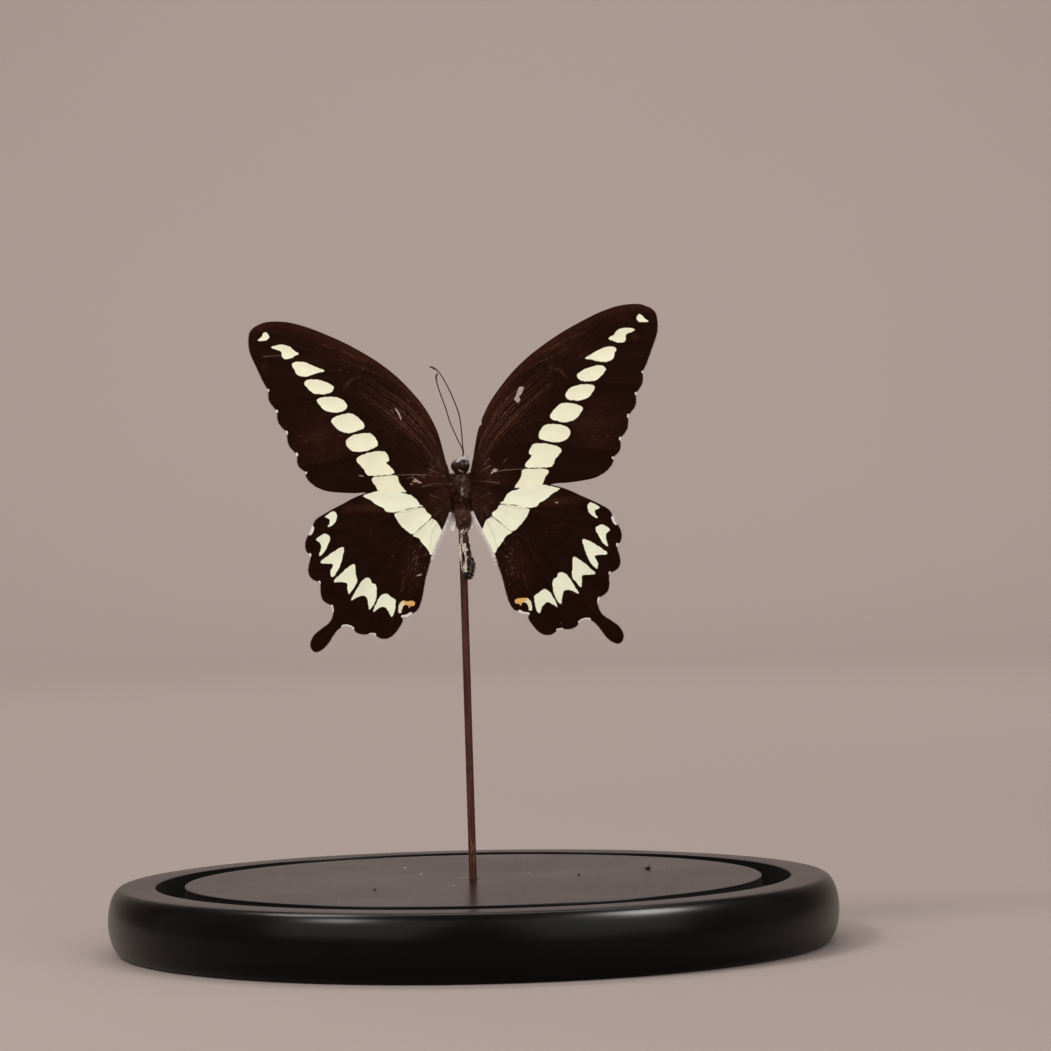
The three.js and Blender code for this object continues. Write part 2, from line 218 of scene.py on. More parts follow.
def hair_mesh(roots, ways, lengths, widths, droops=0.0):
    """Each hair's ring k stands at root + length·s·way + droop·s², with the half width width·(1 - s/2),
    at s = 0 and 1/2, and its tip is at s = 1."""
    count = len(roots)
    lengths = np.broadcast_to(lengths, count)[:, None]
    widths = np.broadcast_to(widths, count)[:, None, None]
    droops = np.broadcast_to(droops, (count, 3))
    ways = unit(ways)
    helper = np.where(np.abs(ways[:, 2:]) < 0.9, [[0.0, 0.0, 1.0]], [[1.0, 0.0, 0.0]])
    n = unit(np.cross(ways, helper))
    m = np.cross(ways, n)
    angle = np.linspace(0, 2 * np.pi, HAIR_SIDES, endpoint=False)[None, :, None]
    ring = np.cos(angle) * n[:, None] + np.sin(angle) * m[:, None]
    rows = []
    for s in HAIR_STEPS:
        middles = roots + lengths * s * ways + droops * s**2
        rows.append(middles[:, None] + widths * (1 - s / 2) * ring)
    tip = (roots + lengths * ways + droops)[:, None]
    places = np.concatenate([*rows, tip], 1)
    side = np.arange(HAIR_SIDES)
    after = (side + 1) % HAIR_SIDES
    base = np.arange(count)[:, None, None] * places.shape[1]
    quads = np.stack([side, after, after + HAIR_SIDES, side + HAIR_SIDES], -1)[None] + base
    ends = np.stack([side + HAIR_SIDES, after + HAIR_SIDES, np.full(HAIR_SIDES, 2 * HAIR_SIDES)], -1)
    ends = np.vstack([ends, [side[::-1]]])[None] + base
    return places.reshape(-1, 3), [quads.reshape(-1, 4), ends.reshape(-1, 3)]


def make_hairs(name, finish, slot, roots, ways, lengths, widths, tones, droops=0.0):
    """A piece of hairs given on the butterfly. Each hair has one tone, from 0, dark, to 1, white."""
    places, faces = hair_mesh(roots, ways, lengths, widths, droops)
    tone = np.repeat(np.broadcast_to(tones, len(roots)), 2 * HAIR_SIDES + 1)
    return make_piece(name, set_on_rod(places), faces, finish, slot, values={"tone": tone})


# %% [markdown]
# ## Small helpers for finishes
#
# A finish is a tree of shader nodes. These helpers each add one node and give back what it puts out, so
# that a finish reads from top to bottom like a recipe. All patterns read Object coordinates, in metres,
# or numbers that were stored with the mesh, so they stay on the piece from every side.

# %% Node helpers
class Finish:
    """A new material, with one shader and the nodes that feed it."""

    def __init__(self, name, **sockets):
        """Makes the material, and keeps its tree and its shader at hand."""
        self.material = bpy.data.materials.new(name)
        self.material.use_nodes = True
        self.tree = self.material.node_tree
        self.shader = self.tree.nodes["Principled BSDF"]
        self.set(**sockets)

    def set(self, **sockets):
        """Sets the shader's sockets. An underscore stands for a space in the socket's name."""
        for key, value in sockets.items():
            self.plug(self.shader.inputs[key.replace("_", " ")], value)

    def plug(self, socket, value):
        """Links an output to the socket, or writes a plain value in it."""
        if isinstance(value, bpy.types.NodeSocket):
            self.tree.links.new(value, socket)
        elif isinstance(value, tuple) and len(value) == 3 and socket.type == "RGBA":
            socket.default_value = (*value, 1)
        else:
            socket.default_value = value

    def add(self, kind, inputs, output=0, **settings):
        """Adds one node, fills its inputs by name or number, and returns one of its outputs."""
        node = self.tree.nodes.new(kind)
        for key, value in settings.items():
            setattr(node, key, value)
        for key, value in inputs.items():
            self.plug(node.inputs[key], value)
        return node.outputs[output]

    def place(self):
        """The place on the piece, in metres."""
        return self.add("ShaderNodeTexCoord", {}, "Object")

    def stored(self, name):
        """A number that was stored with the mesh."""
        return self.add("ShaderNodeAttribute", {}, "Fac", attribute_name=name)

    def stretched(self, vector, scale):
        """The place with each direction scaled on its own."""
        return self.add("ShaderNodeMapping", {"Vector": vector, "Scale": scale})

    def noise(self, vector, scale, detail=2.0, roughness=0.5):
        """Soft noise from 0 to 1, with `scale` blobs to the metre."""
        inputs = {"Vector": vector, "Scale": scale, "Detail": detail, "Roughness": roughness}
        return self.add("ShaderNodeTexNoise", inputs, "Fac")

    def cells(self, vector, scale):
        """The distance to the nearest of scattered dots."""
        return self.add("ShaderNodeTexVoronoi", {"Vector": vector, "Scale": scale}, "Distance")

    def sum(self, *values):
        """All the values added up."""
        total = values[0]
        for value in values[1:]:
            total = self.add("ShaderNodeMath", {0: total, 1: value}, operation="ADD")
        return total

    def times(self, a, b):
        """One value times another."""
        return self.add("ShaderNodeMath", {0: a, 1: b}, operation="MULTIPLY")

    def spread(self, value, low, high, to_low=0.0, to_high=1.0):
        """A smooth step from to_low, where the value is at `low`, to to_high, where it is at `high`."""
        inputs = {"Value": value, "From Min": low, "From Max": high, "To Min": to_low, "To Max": to_high}
        return self.add("ShaderNodeMapRange", inputs, interpolation_type="SMOOTHSTEP")

    def mix(self, share, a, b):
        """Colour a where share is 0, and colour b where it is 1."""
        return self.add("ShaderNodeMix", {0: share, 6: a, 7: b}, 2, data_type="RGBA")

    def ramp(self, value, stops):
        """A colour that goes through the stops (value, colour)."""
        node = self.tree.nodes.new("ShaderNodeValToRGB")
        while len(node.color_ramp.elements) < len(stops):
            node.color_ramp.elements.new(0.5)
        for element, (at, colour) in zip(node.color_ramp.elements, stops):
            element.position = at
            element.color = (*colour, 1)
        self.plug(node.inputs["Fac"], value)
        return node.outputs["Color"]

    def bump(self, height, depth, strength=1.0):
        """The height times `depth` metres, as a change of the surface's direction."""
        inputs = {"Height": height, "Distance": depth, "Strength": strength}
        return self.add("ShaderNodeBump", inputs, "Normal")


# %% [markdown]
# ## Camera, floor and light
#
# The camera stands level with the rod, about a metre away, and looks a trace downwards, so that the top
# of the base shows as a thin ellipse. It has a long lens and a tiny roll. The floor is pale and curves up
# into the wall behind, which the satin lacquer mirrors as it would in a studio.

# %% Camera
CAMERA_AT = (0.0162, -1.098, 0.1152)
CAMERA_ROLL = -0.0198
CAMERA_PITCH_DEG = -0.03
FRAME_SIDE = 1051
FOCAL_PIXELS = 4000
SENSOR = 36.0

camera_data = bpy.data.cameras.new("camera")
camera_data.sensor_width = SENSOR
camera_data.lens = FOCAL_PIXELS / FRAME_SIDE * SENSOR
camera_data.clip_start = 0.01
camera = bpy.data.objects.new("camera", camera_data)
upright = Matrix.Rotation(np.radians(90 + CAMERA_PITCH_DEG), 4, "X")
camera.matrix_world = Matrix.Translation(CAMERA_AT) @ upright @ Matrix.Rotation(CAMERA_ROLL, 4, "Z")
bpy.context.scene.collection.objects.link(camera)
bpy.context.scene.camera = camera
bpy.context.scene.view_settings.view_transform = "Standard"
print("lens, mm:", round(camera_data.lens, 1))

# %% The floor and the wall behind, in one sheet
FLOOR_HALF_WIDTH = 6.0
FLOOR_FRONT = -14.0
BEND_START = 2.2
BEND_RADIUS = 0.9
WALL_HEIGHT = 4.5


def sweep():
    """A profile (y, z) carried along x: flat to BEND_START, a quarter circle
    y = start + r·sin a, z = r·(1 - cos a), and then straight up."""
    turn = np.linspace(0, np.pi / 2, 32)
    bend = np.stack([BEND_START + BEND_RADIUS * np.sin(turn), BEND_RADIUS * (1 - np.cos(turn))], -1)
    profile = np.vstack([[FLOOR_FRONT, 0], bend, [BEND_START + BEND_RADIUS, WALL_HEIGHT]])
    x = np.array([-FLOOR_HALF_WIDTH, FLOOR_HALF_WIDTH])
    y, z = (np.repeat(column[:, None], 2, 1) for column in profile.T)
    grid = np.stack([np.broadcast_to(x[None], y.shape), y, z], -1)
    first = np.arange(len(profile) - 1)[:, None] * 2
    quads = np.hstack([first, first + 1, first + 3, first + 2])
    return grid.reshape(-1, 3) / MILLIMETRE, quads


STUDIO_PALE = (0.372, 0.308, 0.285)
STUDIO_DARK = (0.356, 0.294, 0.272)

studio = Finish("studio_wall", Roughness=0.9, Specular_IOR_Level=0.1)
studio.set(Base_Color=studio.mix(studio.noise(studio.place(), 1.5), STUDIO_PALE, STUDIO_DARK))
sweep_places, sweep_quads = sweep()
make_piece("studio_sweep", sweep_places, [sweep_quads], studio.material)

# %% [markdown]
# ### Lights
#
# Two large softboxes stand in front, left and right, and a small lamp hangs above the left one. Two more
# lamps only glint: they show on glossy surfaces, such as the lacquered edge, but don't light dull ones.
# The last lamp lights the wall, and a dim even room light fills the shadows.

# %% Place the lights
LAMP_COLOUR = (1.0, 0.985, 0.965)
ROOM_COLOUR = (0.80, 0.74, 0.70)
ROOM_STRENGTH = 0.35
LIGHTS = {
    # name: (place, what it looks at, size, watts, whether dull surfaces are lit too)
    "left_softbox": ((-0.95, -1.15, 1.05), (0, 0, 0.12), 1.6, 12.6, True),
    "right_softbox": ((1.05, -1.10, 0.95), (0, 0, 0.12), 1.6, 12.5, True),
    "left_overhead": ((-0.606, -0.485, 0.869), (0, 0, 0.05), 0.26, 4.5, True),
    "left_glint": ((-0.507, 0.116, 0.990), (0, 0, 0.05), 0.30, 4.5, False),
    "right_glint": ((0.713, -0.250, 0.850), (0, 0, 0.05), 0.34, 16.0, False),
    "wall_light": ((0, 1.3, 2.6), (0, 3.1, 0.7), 2.0, 66.0, True),
}
for name, (at, target, size, watts, lights_dull) in LIGHTS.items():
    light = bpy.data.lights.new(name, "AREA")
    light.size = size
    light.energy = watts
    light.color = LAMP_COLOUR
    lamp = bpy.data.objects.new(name, light)
    lamp.visible_diffuse = lights_dull
    towards = np.array(target, float) - np.array(at, float)
    flat = np.hypot(towards[0], towards[1])
    heading = Matrix.Rotation(np.arctan2(-towards[0], towards[1]), 4, "Z")
    tilt = Matrix.Rotation(np.arctan2(flat, -towards[2]), 4, "X")
    lamp.matrix_world = Matrix.Translation(at) @ heading @ tilt
    bpy.context.scene.collection.objects.link(lamp)

world = bpy.data.worlds.new("soft_room")
world.use_nodes = True
background = world.node_tree.nodes["Background"]
background.inputs["Color"].default_value = (*ROOM_COLOUR, 1)
background.inputs["Strength"].default_value = ROOM_STRENGTH
bpy.context.scene.world = world
print("lights:", len(LIGHTS))

# %% [markdown]
# ## The turned base
#
# The base is one disc of wood from a lathe, so it is a profile carried round the upright axis. The packed
# disc has flat facets, and this one is smooth: its half-round edge is an ellipse, and every corner of the
# groove is eased a little, as sandpaper and lacquer leave it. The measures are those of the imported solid.

# %% The base's profile
BASE_RADIUS = 100.0
BASE_THICKNESS = 18.0
EDGE_DEPTH = 4.0
GROOVE_RADII = (79.0, 87.0)
GROOVE_DEPTH = 6.0
EASED = 0.3
SOCKET_RADIUS = 1.5
SOCKET_DEPTH = 10.0
ROUND_SIDES = 256


def eased(corner, before, after, radius=EASED, steps=5):
    """A corner rounded off: the curve (1-t)²·a + 2t(1-t)·corner + t²·b, from a, `radius` before the
    corner, to b, `radius` after it."""
    corner, before, after = (np.asarray(p, float) for p in (corner, before, after))
    a = corner + radius * unit(before - corner)
    b = corner + radius * unit(after - corner)
    t = np.linspace(0, 1, steps)[:, None]
    return (1 - t) ** 2 * a + 2 * t * (1 - t) * corner + t**2 * b


def base_profile():
    """(radius, height) from the underside's middle, round the edge, through the groove, to the rod's
    socket."""
    angle = np.linspace(-np.pi / 2, np.pi / 2, 49)
    flat = BASE_RADIUS - EDGE_DEPTH
    edge = np.stack([flat + EDGE_DEPTH * np.cos(angle), BASE_THICKNESS / 2 * (1 + np.sin(angle))], -1)
    inner, outer = GROOVE_RADII
    top, floor = BASE_THICKNESS, BASE_THICKNESS - GROOVE_DEPTH
    bottom = BASE_THICKNESS - SOCKET_DEPTH
    corners = [(flat, top), (outer, top), (outer, floor), (inner, floor), (inner, top),
               (SOCKET_RADIUS, top), (SOCKET_RADIUS, bottom), (0.01, bottom)]
    rounded = [eased(corners[k], corners[k - 1], corners[k + 1]) for k in range(1, len(corners) - 1)]
    under = np.stack([np.linspace(0.01, flat - 1, 12), np.zeros(12)], -1)
    disc = np.stack([np.linspace(inner - 2, SOCKET_RADIUS + 1.5, 24), np.full(24, top)], -1)
    return np.vstack([under, edge, *rounded[:4], disc, *rounded[4:], [corners[-1]]])


profile = base_profile()
turn = np.linspace(0, 2 * np.pi, ROUND_SIDES, endpoint=False)[None]
radius, height = profile[:, :1], profile[:, 1:]
base_rings = np.stack([radius * np.cos(turn), radius * np.sin(turn), height + 0 * turn], -1)
print("base profile:", len(profile), "steps, widest radius", profile[:, 0].max(), "mm")

# %% [markdown]
# ### Black satin lacquer
#
# Satin lacquer is nearly black from above, but mirrors the wall when seen at a slant. Its roughness
# decides how blurred that mirror is. A very faint orange peel and the wood's pores show in the shine
# only, a film of dust greys the flat top, and the edges of the groove are rubbed a little.

# %% The lacquer's nodes
DUST_FILM = (0.042, 0.037, 0.034)


def lacquer():
    """Near black, greyed on top by dust = lint noise · cloud noise. Roughness = cloud noise + fine noise,
    and more in the groove, which is where height and radius both lie within its measures."""
    f = Finish("black_lacquer", Specular_IOR_Level=0.14, IOR=1.47)
    place = f.place()
    cloud = f.noise(place, 28, 3.0)
    pores = f.noise(f.stretched(place, (60, 900, 900)), 1.0, 3.0)
    peel = f.noise(place, 420, 1.0)
    fine = f.noise(place, 5200, 2.0)
    lint = f.spread(f.noise(place, 2600, 4.0, 0.7), 0.56, 0.80)
    dust = f.times(lint, f.spread(cloud, 0.35, 0.7, 0.15, 0.9))
    radius = f.add("ShaderNodeVectorMath", {0: f.stretched(place, (1, 1, 0))}, "Value", operation="LENGTH")
    height = f.add("ShaderNodeSeparateXYZ", {0: place}, "Z")
    sunk = f.times(f.spread(height, 0.0178, 0.0172), f.spread(height, 0.0115, 0.0118))
    sunk = f.times(sunk, f.times(f.spread(radius, 0.0785, 0.0789), f.spread(radius, 0.0875, 0.0871)))
    tint = f.mix(cloud, (0.0009, 0.0007, 0.0006), (0.0017, 0.0013, 0.0011))
    film = f.times(f.spread(height, 0.0175, 0.0179), f.times(dust, 0.35))
    f.set(Base_Color=f.mix(sunk, f.mix(film, tint, DUST_FILM), (0.0025, 0.0020, 0.0018)))
    satin = f.sum(f.spread(cloud, 0.3, 0.7, 0.225, 0.270), f.spread(fine, 0.60, 0.85, 0.0, 0.05))
    f.set(Roughness=f.sum(satin, f.times(sunk, 0.6)))
    f.set(Normal=f.bump(f.sum(f.times(peel, 0.6), f.times(pores, 0.3), f.times(fine, 0.04)), 0.00002, 0.35))
    return f.material


base_places, base_faces = closed_body(base_rings)
make_piece("base_wood", base_places, base_faces, lacquer(), "black_lacquered_wood", ["base"])

# %% [markdown]
# ## The rod
#
# The rod is a plain round wire, browned, with a rounded top that ends in the glue. It leans slightly to one
# side in its socket. Blender's own cylinder would be dead straight, so it is a tube of rings that can be
# uneven, as drawn wire is. In a band near its foot the brown turns to lighter coppery streaks, which are
# partly worn metal and partly a painted highlight where the rod catches the light.

# %% The rod's surface
ROD_RADIUS = 1.05
ROD_LEAN = np.radians(0.62)
ROD_FOOT = BASE_THICKNESS - SOCKET_DEPTH + 0.3
ROD_TOP = 128.0

rod_length = ROD_TOP - ROD_FOOT
rod_height = np.r_[0, 0.15, np.linspace(0.5, rod_length - 0.5, 120), rod_length - 0.15, rod_length]
rod_across = -rod_height * np.sin(ROD_LEAN)
rod_middle = np.stack([rod_across, 0 * rod_height, ROD_FOOT + rod_height * np.cos(ROD_LEAN)], -1)
rod_radii = ROD_RADIUS * np.r_[0.8, 0.93, np.ones(120), 0.93, 0.8]
rod_rings = tube(rod_middle, rod_radii, 40, np.array([1.0, 0, 0]))
rod_rings += 0.012 * ripple(rod_rings, 9.0, 4)[..., None] * unit(rod_rings - rod_middle[:, None])
print("rod:", round(float(rod_height[-1]), 1), "mm long")


# %% The rod's browned metal
def browned_metal():
    """Brown = a mix of streaks along the rod and blotches, and lighter copper streaks in a band near the
    foot = a band of height · noise above a limit. These streaks are partly worn metal and partly a painted
    highlight."""
    f = Finish("browned_metal", Metallic=0.55)
    place = f.place()
    streaks = f.noise(f.stretched(place, (2200, 2200, 90)), 1.0, 3.0)
    blotches = f.noise(place, 330, 4.0, 0.65)
    height = f.add("ShaderNodeSeparateXYZ", {0: place}, "Z")
    near_foot = f.times(f.spread(height, 0.033, 0.027), f.spread(height, 0.0205, 0.0235))
    foot_streak_noise = f.noise(f.stretched(place, (2400, 2400, 420)), 1.0, 2.0)
    # A band of lighter copper streaks near the foot: partly worn metal, partly a painted highlight.
    worn_and_highlight = f.times(near_foot, f.spread(foot_streak_noise, 0.50, 0.66, 0.0, 0.42))
    brown = f.mix(f.spread(streaks, 0.3, 0.7), (0.060, 0.0170, 0.0105), (0.138, 0.044, 0.028))
    brown = f.mix(f.spread(blotches, 0.45, 0.75), brown, (0.046, 0.0145, 0.0095))
    f.set(Base_Color=f.mix(worn_and_highlight, brown, (0.46, 0.20, 0.11)))
    f.set(Roughness=f.sum(f.spread(blotches, 0.3, 0.7, 0.24, 0.38), f.times(worn_and_highlight, 0.08)))
    f.set(Normal=f.bump(f.sum(streaks, blotches), 0.00003, 0.5))
    return f.material


rod_places, rod_faces = closed_body(rod_rings)
make_piece("rod_wire", rod_places, rod_faces, browned_metal(), "bronzed_rod", ["rod"])

# %% [markdown]
# ## Wings: measuring on a flat drawing
#
# All four wings start as a flat drawing, with *out* from the middle line and *up* towards the head.
# Outlines, veins and markings are lines given on that drawing. Two measures turn them into something a
# finish can use: the distance to a line, and how deep a place lies inside a closed outline. Stored with the
# mesh, a depth of 0 marks an edge that stays sharp even though the mesh itself is much coarser than the
# edge.

# %% Distances on the drawing
def line_distance(places, line):
    """The distance from each place to a line. For each straight step from a to b the place is dropped on
    it at t = (p-a)·(b-a)/|b-a|², held between 0 and 1, and the least distance is kept."""
    nearest = np.full(len(places), np.inf)
    for a, b in zip(line[:-1], line[1:]):
        step = b - a
        t = np.clip((places - a) @ step / max(step @ step, 1e-12), 0, 1)[:, None]
        nearest = np.minimum(nearest, np.linalg.norm(places - a - t * step, axis=1))
    return nearest


def depth_inside(places, outline):
    """How deep each place lies inside a closed outline, and below 0 outside. A place is inside if a line
    from it straight out crosses the outline an odd number of times."""
    ring = np.vstack([outline, outline[:1]])
    x, y = places.T
    crossings = np.zeros(len(places), int)
    for (ax, ay), (bx, by) in zip(ring[:-1], ring[1:]):
        if ay != by:
            crossings += ((ay > y) != (by > y)) & (x < (bx - ax) * (y - ay) / (by - ay) + ax)
    return np.where(crossings % 2 == 1, 1, -1) * line_distance(places, ring)


FAR_OUT = 3.0


def marking_depth(places, outlines, steps=5):
    """The greatest depth inside any of several markings, each a closed line with so many steps from point
    to point, so that 1 keeps its corners. Places more than FAR_OUT from a marking are not measured, and
    count as FAR_OUT outside."""
    depth = np.full(len(places), -FAR_OUT)
    for outline in outlines:
        ring = spline(outline, steps, closed=True)
        near = np.all((places > ring.min(0) - FAR_OUT) & (places < ring.max(0) + FAR_OUT), axis=1)
        depth[near] = np.maximum(depth[near], depth_inside(places[near], ring))
    return depth


def lines_distance(places, lines):
    """The distance to the nearest of several smooth lines."""
    return np.min([line_distance(places, spline(line, 5)) for line in lines], axis=0)


# %% [markdown]
# ### The outlines
#
# A wing's edge runs from its rounded tip down to its rear corner in shallow scallops that meet in small
# notches. Each scallop is its own smooth run, so the notches stay crisp. The `knee` is a helper line
# inside the edge: the net of the wing fans out from the hinge to the knee and then goes on to the edge,
# which lets it follow the narrow tail without folding over itself.

# %% Forewing and hindwing outlines
FOREWING = {
    "hinge": [(2.9, 4.6), (2.75, 1.8), (2.6, -1)],
    "front": [(2.9, 4.6), (3.7, 7.5), (4.3, 10.5), (5.5, 15.5), (7.4, 20), (10, 24.3), (15, 30.3),
              (20, 34.8), (25, 38.3), (30, 41.3), (35, 43.8), (40, 46), (44.5, 47.4), (48.5, 47.9),
              (51.5, 47.7), (53.8, 46.8)],
    "edge": [
        [(53.8, 46.8), (55.3, 45.4), (55.8, 43.4), (55.8, 41), (55.3, 38.8), (53.9, 35.3), (52.3, 31.5),
         (51.1, 29.2)],
        [(51.1, 29.2), (50.9, 26.2), (49, 23.4)],
        [(49, 23.4), (48.7, 20.2), (46.6, 17.5)],
        [(46.6, 17.5), (46.2, 14), (44.1, 11.3)],
        [(44.1, 11.3), (43.9, 8.3), (41.8, 6.2)],
        [(41.8, 6.2), (42, 5.4), (41, 3.7), (39.2, 2.1)],
    ],
    "rear": [(2.6, -1), (8, -2), (14, -2.4), (20, -1.6), (25.5, -0.1), (29, 0), (33.5, 0.4), (36.8, 1),
             (39.2, 2.1)],
    "knee": [(0, 48.5, 47.9), (1, 47.3, 30), (2, 45.3, 24.2), (3, 43, 18.5), (4, 40.6, 12.6),
             (5, 37.8, 8.2), (6, 33.5, 0.4)],
    "knee_front": 13,
    "knee_rear": 6,
    "layer": 1,
}
HINDWING = {
    "hinge": [(3.2, 0.4), (2.7, -2.5), (2.9, -5.4)],
    "front": [(3.2, 0.4), (6.5, 0.5), (10, 0.1), (14.5, -0.7), (17.5, -0.6), (20.5, -0.3), (23.5, -0.2),
              (26.3, -0.8), (29.5, -2), (33, -3.8), (36.2, -5.4), (39, -7)],
    "edge": [
        [(39, -7), (40.3, -8.1), (40.9, -9.3)],
        [(40.9, -9.3), (41.7, -11.2), (42.8, -13), (43.2, -15), (42.8, -16.7), (41.9, -17.5)],
        [(41.9, -17.5), (41.9, -18.8), (42.3, -20.3), (42.5, -22.2), (41.9, -23.8), (40.6, -24.7),
         (39.4, -25)],
        [(39.4, -25), (39.2, -26.6), (39.2, -28.3), (38.7, -30), (37.6, -31), (36.4, -31.6)],
        [(36.4, -31.6), (35.9, -33), (36.1, -34.8), (37.2, -36.6), (39.4, -38.2), (41.3, -39.8),
         (42.3, -41.7), (42.3, -43.2), (41.5, -44.3), (40.3, -44.4), (38.6, -43.4), (37.2, -41.8),
         (35.9, -39.8), (34.6, -38.3), (33, -37.4), (31.6, -37.4), (30.5, -38.1)],
        [(30.5, -38.1), (29.7, -39.2), (28.2, -39.8), (26.4, -39.8), (24.9, -39.6)],
        [(24.9, -39.6), (24.1, -40.3), (22.8, -41.1), (21, -41.1), (19.4, -40.2), (17.9, -38.4),
         (16.8, -36.5), (16.9, -35.2)],
        [(16.9, -35.2), (15.4, -35.1), (14.2, -34.5), (13.2, -33.9)],
    ],
    "rear": [(2.9, -5.4), (3.4, -7.4), (4.6, -10.2), (6.6, -14.6), (8.2, -18.2), (9.4, -21.8),
             (10.4, -25.2), (11.2, -29.3), (12.1, -32.3), (13.2, -33.9)],
    "knee": [(0, 33, -3.8), (1, 36, -9.8), (2, 36.8, -17), (3, 35, -23.5), (4, 34, -30.9),
             (4.11, 34, -34), (4.18, 33.95, -34.8), (4.5, 33.85, -35.1), (4.83, 33.6, -35.5),
             (4.93, 32.4, -35.4), (5, 31.2, -35), (6, 24.5, -35.8), (7, 18.4, -31.5), (8, 11.2, -29.3)],
    "knee_front": 9,
    "knee_rear": 7,
    "layer": -1,
}

# %% [markdown]
# ### The net of a wing
#
# A sheet with four curved sides can be filled by blending them: each place is the blend of the inner and
# outer side, plus what the two other sides bulge, which fades away from them. Two such patches, hinge to
# knee and knee to edge, make the whole net. The printed number is the share of the net that is folded,
# and must be 0.

# %% Fill a wing's outline with a net
INNER_ROWS = 150
OUTER_ROWS = 30
NET_COLUMNS = 190
SPLINE_STEPS = 24


def patch(inner, outer, front, rear, fade):
    """The place at (u, v) is (1-u)·inner(v) + u·outer(v) + (1-v)^fade·bulge of the front side(u) +
    v^fade·bulge of the rear side(u), where a bulge is how far a side lies from its own straight line."""
    u = np.linspace(0, 1, len(front))[:, None, None]
    v = np.linspace(0, 1, len(inner))[None, :, None]

    def bulge(side):
        """How far a side stands off the straight line between its ends."""
        return side[:, None] - (1 - u) * side[0] - u * side[-1]

    return (1 - u) * inner[None] + u * outer[None] + (1 - v)**fade * bulge(front) + v**fade * bulge(rear)


def wing_net(wing):
    """The net (rows, columns, 2) of a wing's flat drawing, with its edge in the last row."""
    runs = [spline(run, SPLINE_STEPS) for run in wing["edge"]]
    lengths = np.array([travelled(run)[-1] for run in runs])
    shares = np.maximum(4, np.round(lengths / lengths.sum() * (NET_COLUMNS - 1)).astype(int))
    shares[np.argmax(shares)] += NET_COLUMNS - 1 - shares.sum()
    edge = np.vstack([evenly(run, share + 1)[:-1] for run, share in zip(runs, shares)] + [runs[-1][-1:]])
    along = np.concatenate([k + np.arange(share) / share for k, share in enumerate(shares)] + [[len(runs)]])
    knots = np.array(wing["knee"], float)
    knee = np.stack([np.interp(along, knots[:, 0], knots[:, k]) for k in (1, 2)], -1)
    sides = []
    for side, at in (("front", wing["knee_front"]), ("rear", wing["knee_rear"])):
        line = spline(wing[side], SPLINE_STEPS)
        cut = at * SPLINE_STEPS
        sides.append((evenly(line[:cut + 1], INNER_ROWS), evenly(line[cut:], OUTER_ROWS)))
    (front_in, front_out), (rear_in, rear_out) = sides
    hinge = evenly(spline(wing["hinge"]), NET_COLUMNS)
    inside = patch(hinge, knee, front_in, rear_in, 1)
    outside = patch(knee, edge, front_out, rear_out, 4)
    return np.concatenate([inside, outside[1:]])


def folded_share(net):
    """The share of the net's cells whose corner product du × dv is not below 0."""
    du, dv = np.diff(net, axis=0)[:, :-1], np.diff(net, axis=1)[:-1]
    return float(np.mean(du[..., 0] * dv[..., 1] - du[..., 1] * dv[..., 0] >= 0))


NETS = {"forewing": wing_net(FOREWING), "hindwing": wing_net(HINDWING)}
for name, net in NETS.items():
    print(name, "net", net.shape[:2], "folded share", folded_share(net))

# %% [markdown]
# ### The veins
#
# Veins are the ribs of a wing. They leave the hinge, frame a long closed cell, and run out to the edge
# between the markings, ending on the scallops. The skin sags slightly between them, so they decide the
# wing's relief as well as its fine lines.

# %% Vein lines
FOREWING_VEINS = [
    [(2.9, 3.6), (5.3, 9.5), (8.2, 15.5), (13, 21.8), (20, 28.2), (27, 33), (33, 36), (42, 40.4),
     (50, 42.1), (55.6, 42.8)],
    [(2.9, 4.2), (4.9, 11.5), (7.4, 18), (11, 23.6), (16, 29.6), (22.5, 35), (30, 40.2)],
    [(11.6, 20), (17, 27.3), (25, 34.6), (33, 40.2), (40, 44.8)],
    [(18.5, 27), (27, 34.6), (36, 40.6), (47, 46.6)],
    [(27, 33), (36, 38.8), (45, 43.6), (53.6, 45.8)],
    [(27, 33), (29, 31.6), (29.8, 30.2), (29, 27.4), (25.8, 23)],
    [(29.2, 31.2), (33.2, 33.3), (38, 35.7), (42, 37.3), (45.2, 37.2), (55.2, 39.4)],
    [(29.8, 30.2), (34, 31.4), (38.5, 32.2), (53.2, 33.6)],
    [(29, 27.4), (35, 27), (38.5, 26.9), (50.6, 26.2)],
    [(2.8, 3), (6, 5), (9.5, 7.6), (14, 11.8), (20.5, 17.6), (25.8, 23), (31.5, 22), (48.5, 20.2)],
    [(20.5, 17.6), (27, 16.6), (31.5, 15.6), (45.9, 14)],
    [(14, 11.8), (19, 11.9), (25, 11.1), (29, 10.2), (43.6, 8.3)],
    [(2.8, 1.5), (8, 3.6), (17, 4.35), (24.6, 4.3), (38.5, 1.7)],
]
HINDWING_VEINS = [
    [(3, -1.5), (6.5, -3), (10.7, -4.9), (18.2, -6.45), (26, -5.6), (33.6, -5), (39.6, -7.6)],
    [(18.2, -6.45), (24, -9), (31, -10.2), (37.6, -10.9), (42.7, -13.3)],
    [(24, -9), (30, -12.5), (35.6, -16.4), (39.5, -18.9), (42.3, -21.4)],
    [(24, -9), (25, -11), (25, -13.2), (22, -18.5)],
    [(25, -13.2), (29, -17.2), (32.1, -20.4), (35.5, -24.5), (39, -28.2)],
    [(3, -3.3), (5.5, -5.6), (8.2, -8), (13.5, -12.6), (17.3, -15), (22, -18.5), (28.4, -25),
     (31.2, -29.6), (35, -36), (40.6, -42.6)],
    [(17.3, -15), (20, -21), (23.7, -28.6), (25.3, -33.5), (27.4, -39.6)],
    [(13.5, -12.6), (15.3, -19), (16.4, -25), (18.2, -31), (19.3, -35.6), (20.6, -40.8)],
    [(3, -4.3), (5, -7), (7.7, -11), (8.9, -15.6), (11, -23), (13.2, -30), (14.6, -34.5)],
]

